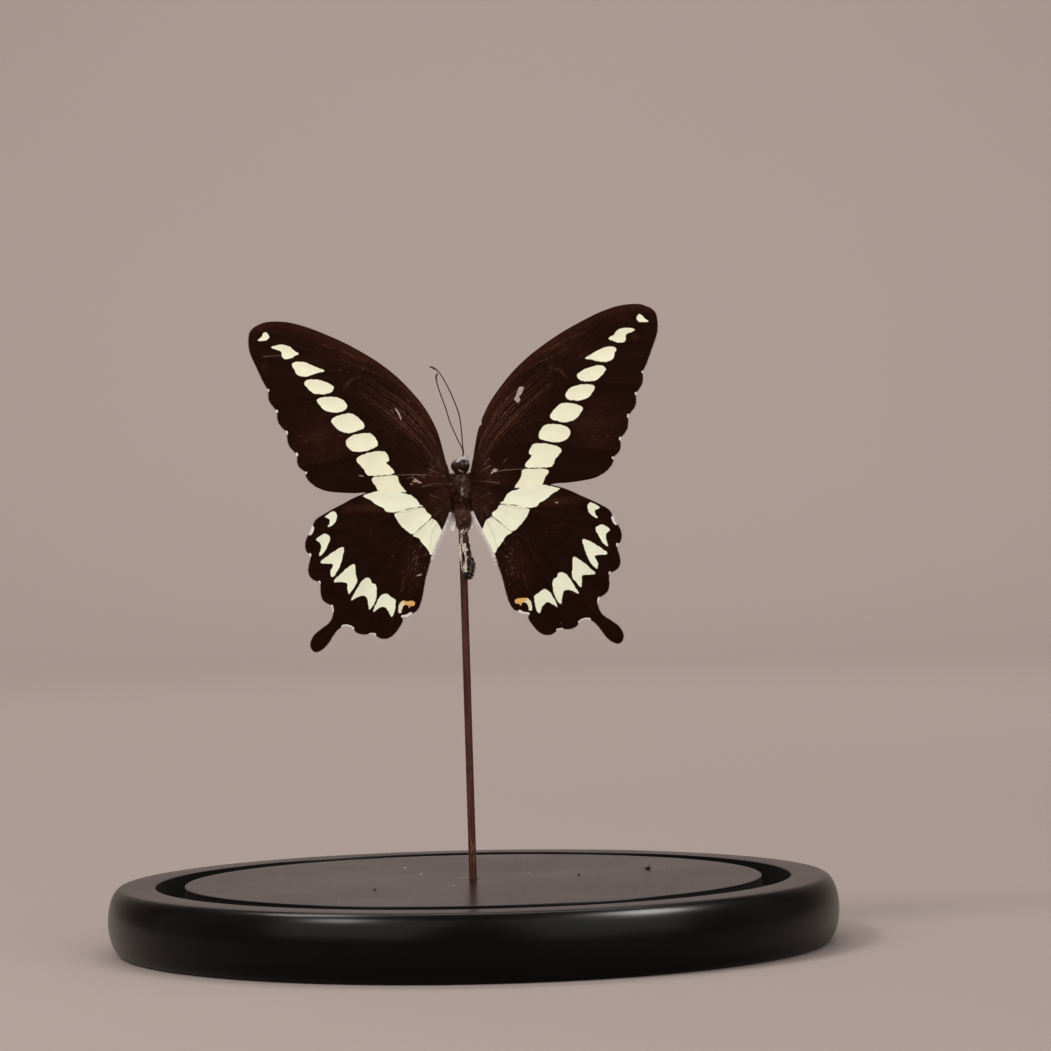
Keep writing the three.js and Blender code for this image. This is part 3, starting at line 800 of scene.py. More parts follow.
# %% [markdown]
# ### The markings
#
# A cream band runs down both wings, broken into spots by the veins on the forewing. The hindwing has a
# row of cream crescents with notched outer sides, and one crescent at its inner corner is orange round a
# dark eye. Each marking is a smooth closed line through its few turning points.

# %% Marking outlines
FOREWING_CREAM = [
    [(50.2, 43.7), (50.4, 44.5), (51, 45), (51.7, 44.7), (52.2, 43.9), (53.4, 42.85), (51.7, 42.8),
     (50.8, 43)],
    [(42.3, 38.8), (43.8, 39.8), (44.8, 40.9), (46.9, 41.5), (49.6, 41), (48.8, 40.3), (47.1, 39.6),
     (47, 38.2), (46.2, 37.5), (44.6, 37.6), (43.3, 38.2)],
    [(35.6, 33.7), (37.7, 34.9), (40.4, 36.2), (42.7, 36.6), (44.2, 36.15), (44.2, 35.3), (43.7, 34.5),
     (43.3, 33.3), (41.9, 32.5), (40, 32.5), (37.9, 33.1)],
    [(33.2, 28.9), (33.8, 29.9), (36.2, 31), (38.8, 31.6), (40.4, 31.4), (41.2, 30.4), (40.2, 29.1),
     (38.8, 27.8), (36.5, 27.4), (34.2, 27.7)],
    [(29.8, 23.7), (30.4, 25.1), (31.9, 26.2), (34.6, 26.6), (37.1, 26.4), (38, 25.65), (37.3, 24.5),
     (36, 23), (33.5, 22.3), (30.8, 22.6)],
    [(25.4, 18), (25.8, 19.3), (28.3, 21.6), (30.8, 21.7), (33.1, 21.1), (34.3, 20.2), (33.8, 18.9),
     (32.1, 17.2), (29.6, 16.5), (26.5, 17.2)],
    [(22, 12.8), (22.5, 14.7), (24.2, 16.2), (27.7, 16), (29.6, 15.3), (30.7, 14.1), (30.2, 12.6),
     (28.8, 11.5), (26.2, 11.2), (23.1, 12)],
    [(19.1, 8.5), (19.8, 10.5), (21, 11.1), (23.8, 11), (26.9, 10.1), (28, 9.1), (27.3, 7.8), (26.2, 6.6),
     (25.6, 5.3), (24.6, 4.5), (21.5, 4.5), (18.8, 4.6), (17.8, 5.2), (18.5, 6.4), (19.8, 7.8)],
    [(17.2, 4.2), (20, 4.3), (23.2, 4.1), (24.2, 3.4), (23.1, 1.6), (22.3, -0.1), (21, -1.2), (18, -1.6),
     (15.2, -1.4), (14.8, -0.4), (16.5, 2)],
]
HINDWING_CREAM = [
    [(12.3, -2.7), (13.6, -1.6), (15, -1.3), (17.5, -0.3), (20.5, 0), (22.1, -0.1), (25, -0.75),
     (27, -1.6), (25, -2.7), (22.9, -4.3), (21.4, -5), (20.7, -5.9), (18.2, -6.3), (14.3, -5.3),
     (10.7, -4.75), (11.4, -4.1)],
    [(10.7, -5), (14.3, -5.5), (18.2, -6.5), (17.7, -8.4), (16.4, -10.2), (13.6, -12.4), (10.8, -10.2),
     (8.2, -7.8), (9.5, -6.3)],
    [(8.2, -8.2), (7.7, -8.4), (6.6, -9.1), (5.7, -10.9), (5.2, -12.5), (6.4, -15), (7.7, -17.4),
     (8.6, -18.25), (9.3, -16.8), (10.7, -15.2), (11.8, -13.6), (13.4, -12.6), (10.8, -10.4)],
    [(34.4, -6.3), (35.2, -5.6), (36.4, -6.2), (37.7, -7.2), (36.4, -7.7), (36.25, -8.6), (37, -9.9),
     (35.7, -9.6), (34.8, -8.6), (34.3, -7.4)],
    [(36.25, -13.25), (36.6, -12.3), (37.9, -11.8), (39.3, -12.5), (40.3, -13.4), (39.1, -14.3),
     (38.9, -15.6), (39.5, -17.9), (38.2, -17), (37.1, -15.2)],
    [(32.5, -15.75), (33.9, -15.9), (36.4, -17.4), (39.1, -19.7), (36.1, -20.2), (35.7, -20.6),
     (36.4, -22.4), (36.1, -23.8), (35, -22.9), (33.9, -21.1), (33, -18.4)],
    [(29.6, -20.6), (30.4, -20.4), (32.1, -21.6), (34.3, -23.6), (35.5, -25.2), (32.1, -25.4),
     (31.8, -27.4), (31.4, -28.6), (30.2, -27.2), (29.1, -25.2), (29.4, -23.1)],
    [(23.75, -27.4), (24.1, -26.1), (25, -25.6), (25.5, -24.5), (26.6, -24.25), (27.9, -25.2),
     (29.3, -27.4), (30.9, -30.4), (28.6, -29.3), (27.1, -29.2), (26.4, -30.2), (26.1, -32),
     (25.8, -33.1), (24.6, -31.6), (23.9, -29.5)],
    [(18.6, -31.6), (18.75, -30.4), (20, -29.5), (21.1, -28.7), (22.5, -29.1), (23.6, -30.75),
     (24.8, -33.6), (22.9, -32.5), (21.8, -32.4), (20.7, -33.4), (19.8, -35.2), (18.9, -33.8)],
]
HINDWING_ORANGE = [
    [(13.4, -32.2), (13.3, -31.3), (14.2, -30.75), (15.4, -30.95), (16.5, -30.7), (17.5, -31.6),
     (17.9, -33.4), (17.7, -34.2), (17.0, -34.1), (16.9, -33.1), (16.3, -32.1), (15.7, -31.95),
     (15.1, -32.2), (15.0, -32.8), (14.5, -32.7), (14.2, -32.2)],
]
# White scales sit in the notches of the edge, as (half width, the line they follow).
FOREWING_FROST = [
    (0.19, [(51, 29.4), (51, 29)]), (0.26, [(49, 23.6), (48.9, 23.2)]), (0.29, [(46.6, 17.7), (46.5, 17.2)]),
    (0.27, [(44.1, 11.6), (44, 11.1)]), (0.22, [(41.8, 6.4), (41.8, 6)]),
]
HINDWING_FROST = [
    (0.42, [(41, -10), (41.2, -11), (41.8, -11.8)]), (0.32, [(41.9, -17.3), (41.9, -17.8)]),
    (0.30, [(39.5, -24.9), (39.4, -25.3)]), (0.30, [(36.2, -31.7), (36, -32.4), (36, -33.2)]),
    (0.36, [(33.4, -37.4), (32.3, -37.3), (31.2, -37.6), (30.5, -38.1)]),
    (0.36, [(25.8, -39.8), (24.5, -39.9)]),
    (0.42, [(16.8, -35.1), (15.6, -35), (14.4, -34.3)]),
]

# %% [markdown]
# ### Rubbed places and faint streaks
#
# A dried specimen is never perfect. Scales are rubbed off in places, where the bare skin looks grey, and
# pale lines show near the hinge, where the veins are thick. Inside the forewing's cell, faint streaks fan
# out from the hinge. These small things differ between the left and the right wing.

# %% Marks of handling, and streaks
CELL_LOW = [(3.9, 3.9), (6.6, 6.9), (10.6, 10.9), (16, 16.6), (22, 21.8), (26.4, 25.4)]
CELL_HIGH = [(3.7, 4.4), (4.7, 10), (8.4, 17.4), (14, 24.4), (20.4, 29.4), (27, 33)]
low, high = np.array(CELL_LOW, float), np.array(CELL_HIGH, float)
CELL_SHARES = (0.10, 0.24, 0.33, 0.50, 0.62, 0.80, 0.92)
FOREWING_STREAKS = [low + (high - low) * share for share in CELL_SHARES]
FOREWING_STREAKS += [np.array(line, float) for line in (
    [(26, 31.8), (28.4, 30.8), (30, 29)],
    [(20, 31.6), (26, 34.6), (31, 36.6)],
    [(24, 36), (30, 38.6), (36, 41)],
    [(8, 20), (12.4, 26), (18, 31.4)],
)]
HINDWING_STREAKS = [np.array(line, float) for line in (
    [(13, -12.5), (17, -15), (20, -21)],
    [(15.5, -24), (16.2, -26), (17, -28)],
    [(20, -4.6), (27, -4.6), (33, -6)],
)]
# Pale lines near the hinge, on both sides.
FOREWING_PALE = [[(3.4, 2.6), (6, 4.4), (8.5, 5.65)], [(3.4, 1.5), (7, 1.5), (10.6, 0.85)],
                 [(9, 4), (13, 4.3), (17, 4.35)]]
HINDWING_PALE = [[(4.2, -3.9), (6, -2.6), (8.2, -1.7)], [(4.7, -5.1), (6, -6.3), (7.3, -7.6)]]

RUBBED = {
    "right_forewing": [
        [(17.3, 26.9), (18.7, 26.7), (17.9, 24.8), (17.1, 24.2), (17.5, 23.3), (16.8, 22.3), (15.7, 23.4),
         (16.3, 24.5)],
        [(8.3, 3.6), (8.9, 4.1), (8.7, 4.6), (9.2, 4.5), (9.6, 5.2), (9.8, 4.6), (10.6, 4.9), (10, 4.2),
         (9.9, 3.7), (9.3, 4), (8.8, 3.4)],
        [(4.4, 4.2), (4.7, 4.6), (5.0, 4.3), (4.7, 4.0)],
    ],
    "left_forewing": [
        [(16.5, 22.7), (16.9, 22.4), (15.9, 20.7), (15.5, 19.3), (15.1, 19.6), (15.6, 21.2)],
        [(4.2, 3.4), (4.5, 3.8), (4.9, 3.5), (4.6, 3.1)],
        [(26.1, 4.7), (27.6, 4.9), (27.7, 4.6), (26.2, 4.4)],
        [(10.3, 1.9), (11.2, 2.4), (12.2, 3.2), (12.9, 3.4), (12.3, 2.7), (13.2, 2.6), (12.6, 2.2),
         (11.7, 2.2), (11.2, 1.8)],
        [(12.9, 1.7), (13.5, 2.0), (13.7, 1.8), (13.2, 1.5)],
    ],
    "right_hindwing": [[(25.3, -5.1), (26, -5), (26.7, -5.2), (26, -5.5)]],
    "left_hindwing": [[(10.9, -23.6), (11.7, -23.4), (12.9, -24), (11.7, -24)]],
}
# Fine pale scratches that only one wing has.
SCRATCHES = {
    "right_forewing": [[(12, 6.5), (12.9, 7.3)], [(6.8, 6.2), (8.2, 7.8)], [(21, 9.6), (21.6, 11.2)]],
    "left_forewing": [[(9.6, 3.4), (11.4, 4.2)], [(12.4, 3.9), (14.4, 3.3)],
                      [(15.2, 19), (16.8, 22.9)], [(17.2, 21.4), (18, 22.4)], [(47, 38.6), (52, 38.4)]],
    "right_hindwing": [[(11, -19), (12.2, -19.6)], [(13, -22), (13.4, -24.6)],
                       [(10.6, -14.6), (11.4, -16)]],
    "left_hindwing": [[(10.2, -14.4), (11.6, -16.2)], [(12.6, -20), (12.9, -22.4)],
                      [(14.8, -26), (15.2, -28)], [(9.6, -17), (10.2, -18.6)]],
}
# A nick in a wing's front margin, as (out, up, depth, width).
NICKS = {"right_forewing": (6.05, 17.4, 0.5, 0.55)}
# Warmer or duller brown, as soft ovals (out, up, half width, half height, strength). The second oval on the
# left forewing, near the margin below the tip, is a painted sheen where the curved wing catches the light.
SMUDGES_AND_SHEEN = {
    "left_forewing": [(12, 2.5, 1.5, 0.9, 0.75), (51.9, 35.7, 1.1, 1.3, 0.55)],
    "right_forewing": [(46.5, 43.5, 2.9, 0.8, 0.5), (49.8, 38.9, 1.3, 1.1, 0.65)],
    "right_hindwing": [],
    "left_hindwing": [],
}
FOREWING_WARMTH = [(37, 15, 7.5, 7, 0.62), (6, 2, 7, 4.5, 0.95), (14, 20, 9, 9, 0.35),
                   (30, 37, 12, 4, 0.35), (35, 5, 8, 3, -0.5)]
HINDWING_WARMTH = [(26.5, -5, 7, 1.6, 0.8), (5, -4, 4.5, 4.5, 1.0), (14, -22, 4, 7, 0.50),
                   (40, -21, 3, 12, -0.3)]
# Where the scales are scuffed into short pale hairlines.
FOREWING_SCUFFS = [(13, 20, 6, 8, 0.9), (6, 5, 4, 5, 0.8), (28, 33, 8, 3, 0.45), (38, 15, 8, 8, 0.35)]
HINDWING_SCUFFS = [(12.5, -21, 4, 7, 1.0), (5.5, -5, 3, 4, 0.9), (25, -12, 8, 6, 0.3)]
FOREWING_STREAK_WIDTHS = (0.15, 0.34)
HINDWING_STREAK_WIDTHS = (0.10, 0.20)


def streak_strength(places, lines, width_range, reach):
    """The strongest of the streaks at each place: share·exp(-(distance/width)²), where each line has its
    own share and width from the seed, and wavers by a third of a millimetre. Streaks are thinner near the
    hinge, and those that start there fade away from it."""
    random = np.random.default_rng(3)
    wavered = places + 0.30 * np.stack([ripple(np.column_stack([places, 0 * places[:, 0]]), 9.0, seed)
                                        for seed in (81, 82)], -1)
    strength = np.zeros(len(places))
    for line in lines:
        share, width = random.uniform(0.30, 0.90), random.uniform(*width_range)
        distance = line_distance(wavered, spline(line, 5))
        width = width * np.clip(reach / 18, 0.35, 1)
        fade = np.clip((42 - reach) / 22, 0.10, 1) if np.hypot(*line[0]) < 8 else 0.5
        strength = np.maximum(strength, fade * share * np.exp(-((distance / width) ** 2)))
    return strength


def frost_gap(places, frost):
    """The least distance to any line of white scales, each divided by that line's half width."""
    return np.min([line_distance(places, np.array(line, float)) / half for half, line in frost], axis=0)


def soft_spots(places, spots):
    """The sum over spots (out, up, width, height, strength) of strength·exp(-(dx/width)² -
    (dy/height)²)."""
    total = np.zeros(len(places))
    for out, up, width, height, strength in spots:
        across, along = (places[:, 0] - out) / width, (places[:, 1] - up) / height
        total += strength * np.exp(-(across**2) - along**2)
    return total


# %% [markdown]
# ### What every place on a wing knows
#
# For each place of the net, these numbers are worked out once for the drawing, and both wings of a pair
# use them: depth in the cream, depth in the orange, distance to the veins, the streaks and the edge, how
# warm the brown is, and two directions for the fine grain, which runs out from the hinge.

# %% Numbers stored with the wings
def wing_values(places, wing, cream, orange, veins, streaks, pale, frost, warmth, scuffs):
    """A dictionary of one number for each place of the drawing."""
    rim = np.vstack([spline(wing["front"])] + [spline(run) for run in wing["edge"]])
    rear = spline(wing["rear"])
    from_hinge = places - np.array(wing["hinge"][1])
    reach = np.linalg.norm(from_hinge, axis=1)
    front_gap = line_distance(places, spline(wing["front"]))
    warm = soft_spots(places, warmth)
    if wing["layer"] > 0:
        warm += 0.75 * np.exp(-(front_gap / 2.4) ** 2) * np.clip((reach - 6) / 10, 0, 1)
    streak_widths = FOREWING_STREAK_WIDTHS if wing["layer"] > 0 else HINDWING_STREAK_WIDTHS
    return {
        "cream": marking_depth(places, cream),
        "orange": marking_depth(places, orange),
        "vein": lines_distance(places, veins),
        "streak": streak_strength(places, streaks, streak_widths, reach),
        "pale": lines_distance(places, pale),
        "frost": frost_gap(places, frost),
        "edge_gap": line_distance(places, rim),
        "rear_gap": line_distance(places, rear),
        "reach": reach,
        "ray": np.arctan2(from_hinge[:, 1], from_hinge[:, 0]),
        "warm": warm,
        "scuff": soft_spots(places, scuffs),
        "blush": np.clip(0.5 * (places[:, 0] - 15.6) + 0.5 * (-31.6 - places[:, 1]), 0, 1),
    }


VALUES = {
    "forewing": wing_values(NETS["forewing"].reshape(-1, 2), FOREWING, FOREWING_CREAM, [],
                            FOREWING_VEINS, FOREWING_STREAKS, FOREWING_PALE, FOREWING_FROST,
                            FOREWING_WARMTH, FOREWING_SCUFFS),
    "hindwing": wing_values(NETS["hindwing"].reshape(-1, 2), HINDWING, HINDWING_CREAM, HINDWING_ORANGE,
                            HINDWING_VEINS, HINDWING_STREAKS, HINDWING_PALE, HINDWING_FROST, HINDWING_WARMTH,
                            HINDWING_SCUFFS),
}
for name, values in VALUES.items():
    print(name, "cream share", round(float((values["cream"] > 0).mean()), 3))

# %% [markdown]
# ### The wings' relief
#
# Spread wings are not flat. They rise away from the body and level off, the skin sags between the veins,
# the veins stand proud, and the outer margin waves slightly, as it does when a specimen dries. The sheet
# is thickest near the hinge and thin at its edge.

# %% Height and thickness of a wing
LAYER_STEP = 0.35
PANEL_SAG = 0.13
VEIN_RISE = 0.05
VEIN_HALF_WIDTH = 0.28


def wing_lift(out, up):
    """How far behind its plane a spread wing stands: -0.055·out + 0.0006·out² + 0.0005·up²."""
    return -0.055 * out + 0.0006 * out**2 + 0.0005 * up**2


def relief(places, values, seed):
    """The height behind the plane: the sag between veins, and a wave that grows towards the edge."""
    sag = PANEL_SAG * (1 - np.exp(-((values["vein"] / 1.9) ** 2)))
    wave = 0.16 * ripple(np.column_stack([places, 0 * places[:, 0]]), 17.0, seed)
    sag *= np.clip(values["edge_gap"] / 2.5, 0.25, 1)
    return sag + wave * np.clip(values["reach"] / 35, 0, 1)


def thickness(values):
    """Half the thickness: thin at the edge, thicker inside, and raised along each vein by a bell
    curve."""
    sheet = 0.025 + 0.03 * np.clip(values["edge_gap"] / 3, 0, 1)
    stout = 1 + 1.2 * np.exp(-values["reach"] / 9)
    return sheet + stout * VEIN_RISE * np.exp(-((values["vein"] / VEIN_HALF_WIDTH) ** 2))


# %% Build one wing as a closed sheet
LEFT_HINDWING_TURN = np.radians(1.6)
LEFT_HINDWING_SCALE = 0.985


def settle(places, hinge, turn, scale):
    """The drawing turned by an angle and scaled about the hinge."""
    cos, sin = np.cos(turn), np.sin(turn)
    x, y = (places - hinge).T
    return np.stack([x * cos - y * sin, x * sin + y * cos], -1) * scale + hinge


def wing_surface(name, kind, side, turn=0.0, scale=1.0):
    """Front and back net of a wing, one behind the other, with a narrow strip of faces joining their
    rims. Returns the places on the butterfly, the faces and the stored numbers."""
    wing = FOREWING if kind == "forewing" else HINDWING
    net = NETS[kind]
    drawing = net.reshape(-1, 2)
    values = dict(VALUES[kind])
    values["bare"] = marking_depth(drawing, RUBBED[name], 1)
    # Smudges of warmer or duller brown. On the left forewing, one of them is a painted sheen near the margin
    # below the tip.
    values["warm"] = values["warm"] + soft_spots(drawing, SMUDGES_AND_SHEEN[name])
    values["pale"] = np.minimum(values["pale"], lines_distance(drawing, SCRATCHES[name]))
    if name in NICKS:
        out, up, depth, width = NICKS[name]
        gap = np.hypot(drawing[:, 0] - out, drawing[:, 1] - up)
        drawing = drawing + (depth * np.exp(-((gap / width) ** 2)))[:, None] * np.array([0.87, -0.5])
    hinge = np.array([3.4, wing["front"][0][1]])
    flat = settle(drawing, hinge, turn, scale)
    behind = wing_lift(*flat.T) + wing["layer"] * LAYER_STEP + relief(drawing, values, 11 + side)
    half = thickness(values)
    sheets = [np.stack([side * flat[:, 0], behind + share * half, flat[:, 1]], -1) for share in (-1, 1)]
    rows, columns = net.shape[:2]
    index = np.arange(rows * columns).reshape(rows, columns)
    a, b, c, d = index[:-1, :-1], index[:-1, 1:], index[1:, 1:], index[1:, :-1]
    front = np.stack([a, b, c, d], -1).reshape(-1, 4)
    back = front[:, ::-1] + rows * columns
    rim = np.concatenate([index[0, :-1], index[:-1, -1], index[-1, :0:-1], index[:0:-1, 0]])
    after = np.roll(rim, -1)
    strip = np.stack([after, rim, rim + rows * columns, after + rows * columns], -1)
    stored = {key: np.tile(numbers, 2) for key, numbers in values.items()}
    stored["bare"][rows * columns:] = -FAR_OUT
    stored["pale"][rows * columns:] = FAR_OUT
    stored["underside"] = np.repeat([0.0, 1.0], rows * columns)
    return np.vstack(sheets), [front, back, strip], stored


# %% [markdown]
# ### The finish of the wing scales
#
# Butterfly colour is a dust of tiny scales, so nothing on it is even. The brown is built up from the
# darkest chocolate to a warmer brown, and then come streaks, pale lines, cream, orange, rubbed skin and
# white fringe scales, each laid over the last where its stored number says so. A little noise added to a
# depth before it is cut gives the edges of the markings the ragged look of single scales.

# %% Colours of the wings
CHOCOLATE = (0.0115, 0.0031, 0.0015)
WARM_BROWN = (0.036, 0.0100, 0.0050)
STREAK_BROWN = (0.155, 0.058, 0.036)
OLIVE_RIM = (0.020, 0.013, 0.005)
PALE_VEIN = (0.30, 0.19, 0.14)
BARE_SKIN = (0.50, 0.38, 0.33)
FRINGE_WHITE = (0.87, 0.85, 0.79)
FOREWING_CREAM_COLOUR = (0.92, 0.91, 0.68)
HINDWING_CREAM_COLOUR = (0.92, 0.93, 0.72)
ORANGE = (0.80, 0.46, 0.14)
UNDER_BROWN = (0.050, 0.026, 0.017)


# %% The scales' nodes
def wing_scales(name, cream_colour):
    """Colour = ground, then each layer over it by a smooth step of its stored depth or distance. A ragged
    noise is added to a depth before the step. The surface rises by noise along the rays and by rows of
    dots."""
    f = Finish(name, Specular_IOR_Level=0.05, Specular_Tint=(1.0, 0.6, 0.45, 1.0))
    place = f.place()
    grain = f.noise(place, 4200, 3.0, 0.6)
    patches = f.noise(place, 260, 3.0)
    ragged = f.times(f.sum(grain, -0.5), 0.34)
    uneven = f.times(f.sum(f.noise(place, 850, 2.0), -0.5), 0.48)
    ray, reach = f.stored("ray"), f.stored("reach")
    rays = f.add("ShaderNodeCombineXYZ", {0: f.times(ray, 120.0), 1: f.times(reach, 0.35)})
    striae = f.noise(rays, 1.0, 3.0, 0.6)
    warm = f.sum(f.stored("warm"), f.times(f.sum(patches, -0.5), 0.70), f.times(f.sum(striae, -0.5), 1.20))
    ground = f.mix(f.spread(warm, 0.0, 1.0), CHOCOLATE, WARM_BROWN)
    ground = f.mix(f.spread(grain, 0.25, 0.75, 0.0, 0.40), ground, (0.0065, 0.0018, 0.0010))
    streak = f.times(f.stored("streak"), f.spread(f.sum(grain, striae), 0.75, 1.15, 0.15, 1.0))
    streak = f.times(streak, f.spread(f.noise(place, 620, 2.0), 0.36, 0.58, 0.50, 1.0))
    ground = f.mix(streak, ground, STREAK_BROWN)
    hairlines = f.add("ShaderNodeCombineXYZ", {0: f.times(ray, 90.0), 1: f.times(reach, 0.6)})
    flecks = f.spread(f.noise(hairlines, 1.0, 1.0, 0.6), 0.62, 0.78)
    scuffed = f.sum(f.stored("scuff"), f.times(patches, 0.5))
    flecks = f.times(flecks, f.spread(scuffed, 0.25, 1.10, 0.02, 0.42))
    ground = f.mix(flecks, ground, (0.27, 0.135, 0.098))
    vein = f.times(f.spread(f.stored("vein"), 0.26, 0.06), 0.16)
    ground = f.mix(vein, ground, WARM_BROWN)
    pale = f.spread(f.stored("pale"), 0.20, 0.03)
    pale = f.times(pale, f.spread(f.sum(grain, striae), 0.75, 1.2, 0.05, 0.65))
    ground = f.mix(pale, ground, PALE_VEIN)
    underside = f.times(f.stored("underside"), f.spread(patches, 0.2, 0.8, 0.55, 0.95))
    ground = f.mix(underside, ground, UNDER_BROWN)

    cream_depth = f.sum(f.stored("cream"), ragged, uneven, f.times(f.stored("underside"), 0.2))
    ground = f.mix(f.spread(cream_depth, -0.34, -0.05, 0.0, 0.75), ground, OLIVE_RIM)
    shade = f.mix(f.spread(patches, 0.3, 0.7), cream_colour, tuple(0.94 * c for c in cream_colour))
    shade = f.mix(f.spread(grain, 0.60, 0.90, 0.0, 0.25), shade, (0.62, 0.58, 0.38))
    shade = f.mix(f.spread(f.stored("vein"), 0.20, 0.03, 0.0, 0.42), shade, (0.36, 0.31, 0.16))
    colour = f.mix(f.spread(cream_depth, -0.06, 0.09), ground, shade)

    orange_depth = f.sum(f.stored("orange"), ragged, uneven)
    blush = f.spread(f.sum(f.stored("blush"), f.times(grain, 0.3)), 0.1, 0.9)
    blush = f.mix(blush, ORANGE, (0.86, 0.77, 0.55))
    colour = f.mix(f.spread(orange_depth, -0.06, 0.08), colour, blush)

    bare = f.sum(f.stored("bare"), f.times(ragged, 0.8))
    colour = f.mix(f.spread(bare, -0.05, 0.10), colour, f.mix(grain, BARE_SKIN, (0.40, 0.29, 0.25)))
    frost = f.times(f.spread(f.sum(f.stored("frost"), f.times(ragged, 1.6)), 1.0, 0.7), 0.9)
    colour = f.mix(frost, colour, FRINGE_WHITE)
    f.set(Base_Color=colour)
    f.set(Roughness=f.spread(grain, 0.2, 0.8, 0.56, 0.80))
    rows = f.cells(place, 5200)
    relief_height = f.sum(f.times(striae, 0.6), f.times(rows, 0.5), f.times(grain, 0.5))
    f.set(Normal=f.bump(relief_height, 0.00004, 0.55))
    return f.material


SCALES = {
    "forewing": wing_scales("forewing_scales", FOREWING_CREAM_COLOUR),
    "hindwing": wing_scales("hindwing_scales", HINDWING_CREAM_COLOUR),
}

# %% Set the four wings
WINGS = {}
for name, kind, side, turn, scale in (
    ("right_forewing", "forewing", 1, 0.0, 1.0),
    ("left_forewing", "forewing", -1, 0.0, 1.0),
    ("right_hindwing", "hindwing", 1, 0.0, 1.0),
    ("left_hindwing", "hindwing", -1, LEFT_HINDWING_TURN, LEFT_HINDWING_SCALE),
):
    places, faces, stored = wing_surface(name, kind, side, turn, scale)
    WINGS[name] = places[:len(places) // 2].reshape(*NETS[kind].shape[:2], 3)
    make_piece(f"{name}_sheet", set_on_rod(places), faces, SCALES[kind], "wing_scales", [name], stored)

# %% [markdown]
# ## Fur and fringe finish
#
# One finish serves every kind of hair. Each hair carries a tone from 0 to 1, and the ramp turns it into
# dark brown, olive brown, tan, pale or white.

# %% The hair's nodes
HAIR_RAMP = [
    (0.0, (0.010, 0.0040, 0.0026)),
    (0.3, (0.054, 0.0165, 0.0078)),
    (0.5, (0.135, 0.057, 0.034)),
    (0.75, (0.42, 0.33, 0.27)),
    (1.0, (0.88, 0.85, 0.84)),
]


def hair_finish():
    """Colour = the ramp at tone + noise·0.16."""
    f = Finish("insect_hair", Specular_IOR_Level=0.09, Specular_Tint=(1.0, 0.8, 0.7, 1.0))
    tone = f.sum(f.stored("tone"), f.times(f.sum(f.noise(f.place(), 1800, 2.0), -0.5), 0.16))
    f.set(Base_Color=f.ramp(tone, HAIR_RAMP))
    f.set(Roughness=f.spread(f.noise(f.place(), 3000), 0.3, 0.7, 0.50, 0.68))
    f.set(Normal=f.bump(f.noise(f.place(), 9000), 0.00001, 0.4))
    return f.material


HAIR = hair_finish()


# %% [markdown]
# ### Fringe scales along the wings
#
# The edge of each wing is fringed with scales about half a millimetre long, brown along the scallops and
# white in the notches. The hindwings' inner margins carry a longer, pinkish-white fringe. Where a wing is
# scuffed, single pale scales have come loose and lie on it like short hairs.

# %% Fringes
def fringe(name, kind, seed):
    """Hairs at even steps along the last row and column of the wing's net, twice as many where they are
    white. Each points away from the wing, square to its rim, with a random lean."""
    random = np.random.default_rng(seed)
    net = WINGS[name]
    outer, inner_margin = net[-1], net[:, -1]
    rim = evenly(outer, int(travelled(outer)[-1] / 0.065))
    flat_rim = evenly(NETS[kind][-1], len(rim))
    white = frost_gap(flat_rim, FOREWING_FROST if kind == "forewing" else HINDWING_FROST) < 1.1
    kept = white | (np.arange(len(rim)) % 2 == 0)
    rim, white = rim[kept], white[kept]
    roots, tones, lengths = [rim], [np.where(white, 0.95, 0.12)], [np.where(white, 0.42, 0.36)]
    ways = [outward_of(rim, net)]
    if kind == "hindwing":
        margin = evenly(inner_margin, 700)
        flat_up = evenly(NETS[kind][:, -1], 700)[:, 1]
        pale = (flat_up < -6.5) & (flat_up > -19.5 + random.normal(0, 0.9, len(flat_up)))
        roots.append(margin)
        tones.append(np.where(pale, 0.93, 0.2))
        lengths.append(np.where(pale, 1.15, 0.45))
        ways.append(outward_of(margin, net))
    roots, tones, lengths, ways = (np.concatenate(parts) for parts in (roots, tones, lengths, ways))
    ways = ways + random.normal(0, 0.16, ways.shape)
    lengths = lengths * random.uniform(0.6, 1.15, len(lengths))
    tones = np.clip(tones + random.normal(0, 0.05, len(tones)), 0, 1)
    make_hairs(f"{name}_fringe", HAIR, "wing_scales", roots - 0.1 * unit(ways), ways, lengths, 0.06, tones)


def loose_scales(name, kind, seed, count):
    """Pale hairs that lie on the scuffed places of the front, at places of the net picked with their
    scuff as the weight, and pointing away from the hinge with a random lean."""
    random = np.random.default_rng(seed)
    net, scuff = WINGS[name], VALUES[kind]["scuff"].reshape(NETS[kind].shape[:2])[:-8, 2:-2]
    cream = VALUES[kind]["cream"].reshape(NETS[kind].shape[:2])[:-8, 2:-2]
    weight = (0.004 + scuff**3) * (cream < -0.2)
    picked = random.choice(weight.size, count, p=weight.ravel() / weight.sum())
    row, column = np.unravel_index(picked, weight.shape)
    roots = net[row, column + 2] - np.array([0, 0.04, 0])
    ways = unit(net[row + 6, column + 2] - net[row, column + 2]) + random.normal(0, 0.22, roots.shape)
    ways[:, 1] = -0.04
    tones = np.clip(random.normal(0.52, 0.10, count), 0.35, 0.80)
    lengths = random.uniform(0.25, 1.45, count) ** 1.5 + 0.15
    make_hairs(f"{name}_loose_scales", HAIR, "wing_scales", roots, ways, lengths, 0.026, tones)


def outward_of(line, net):
    """Square to a line along the rim, in the wing's plane, and away from the middle of the net."""
    along = np.gradient(line, axis=0)
    away = np.stack([-along[:, 2], 0 * along[:, 0], along[:, 0]], -1)
    middle = net[net.shape[0] * 2 // 3, net.shape[1] // 2]
    turned = np.sum(away * (line - middle), axis=1).mean() < 0
    return unit(-away if turned else away)


for number, name in enumerate(WINGS):
    fringe(name, name.split("_")[1], 40 + number)
    loose_scales(name, name.split("_")[1], 50 + number, 90 if name.endswith("forewing") else 50)
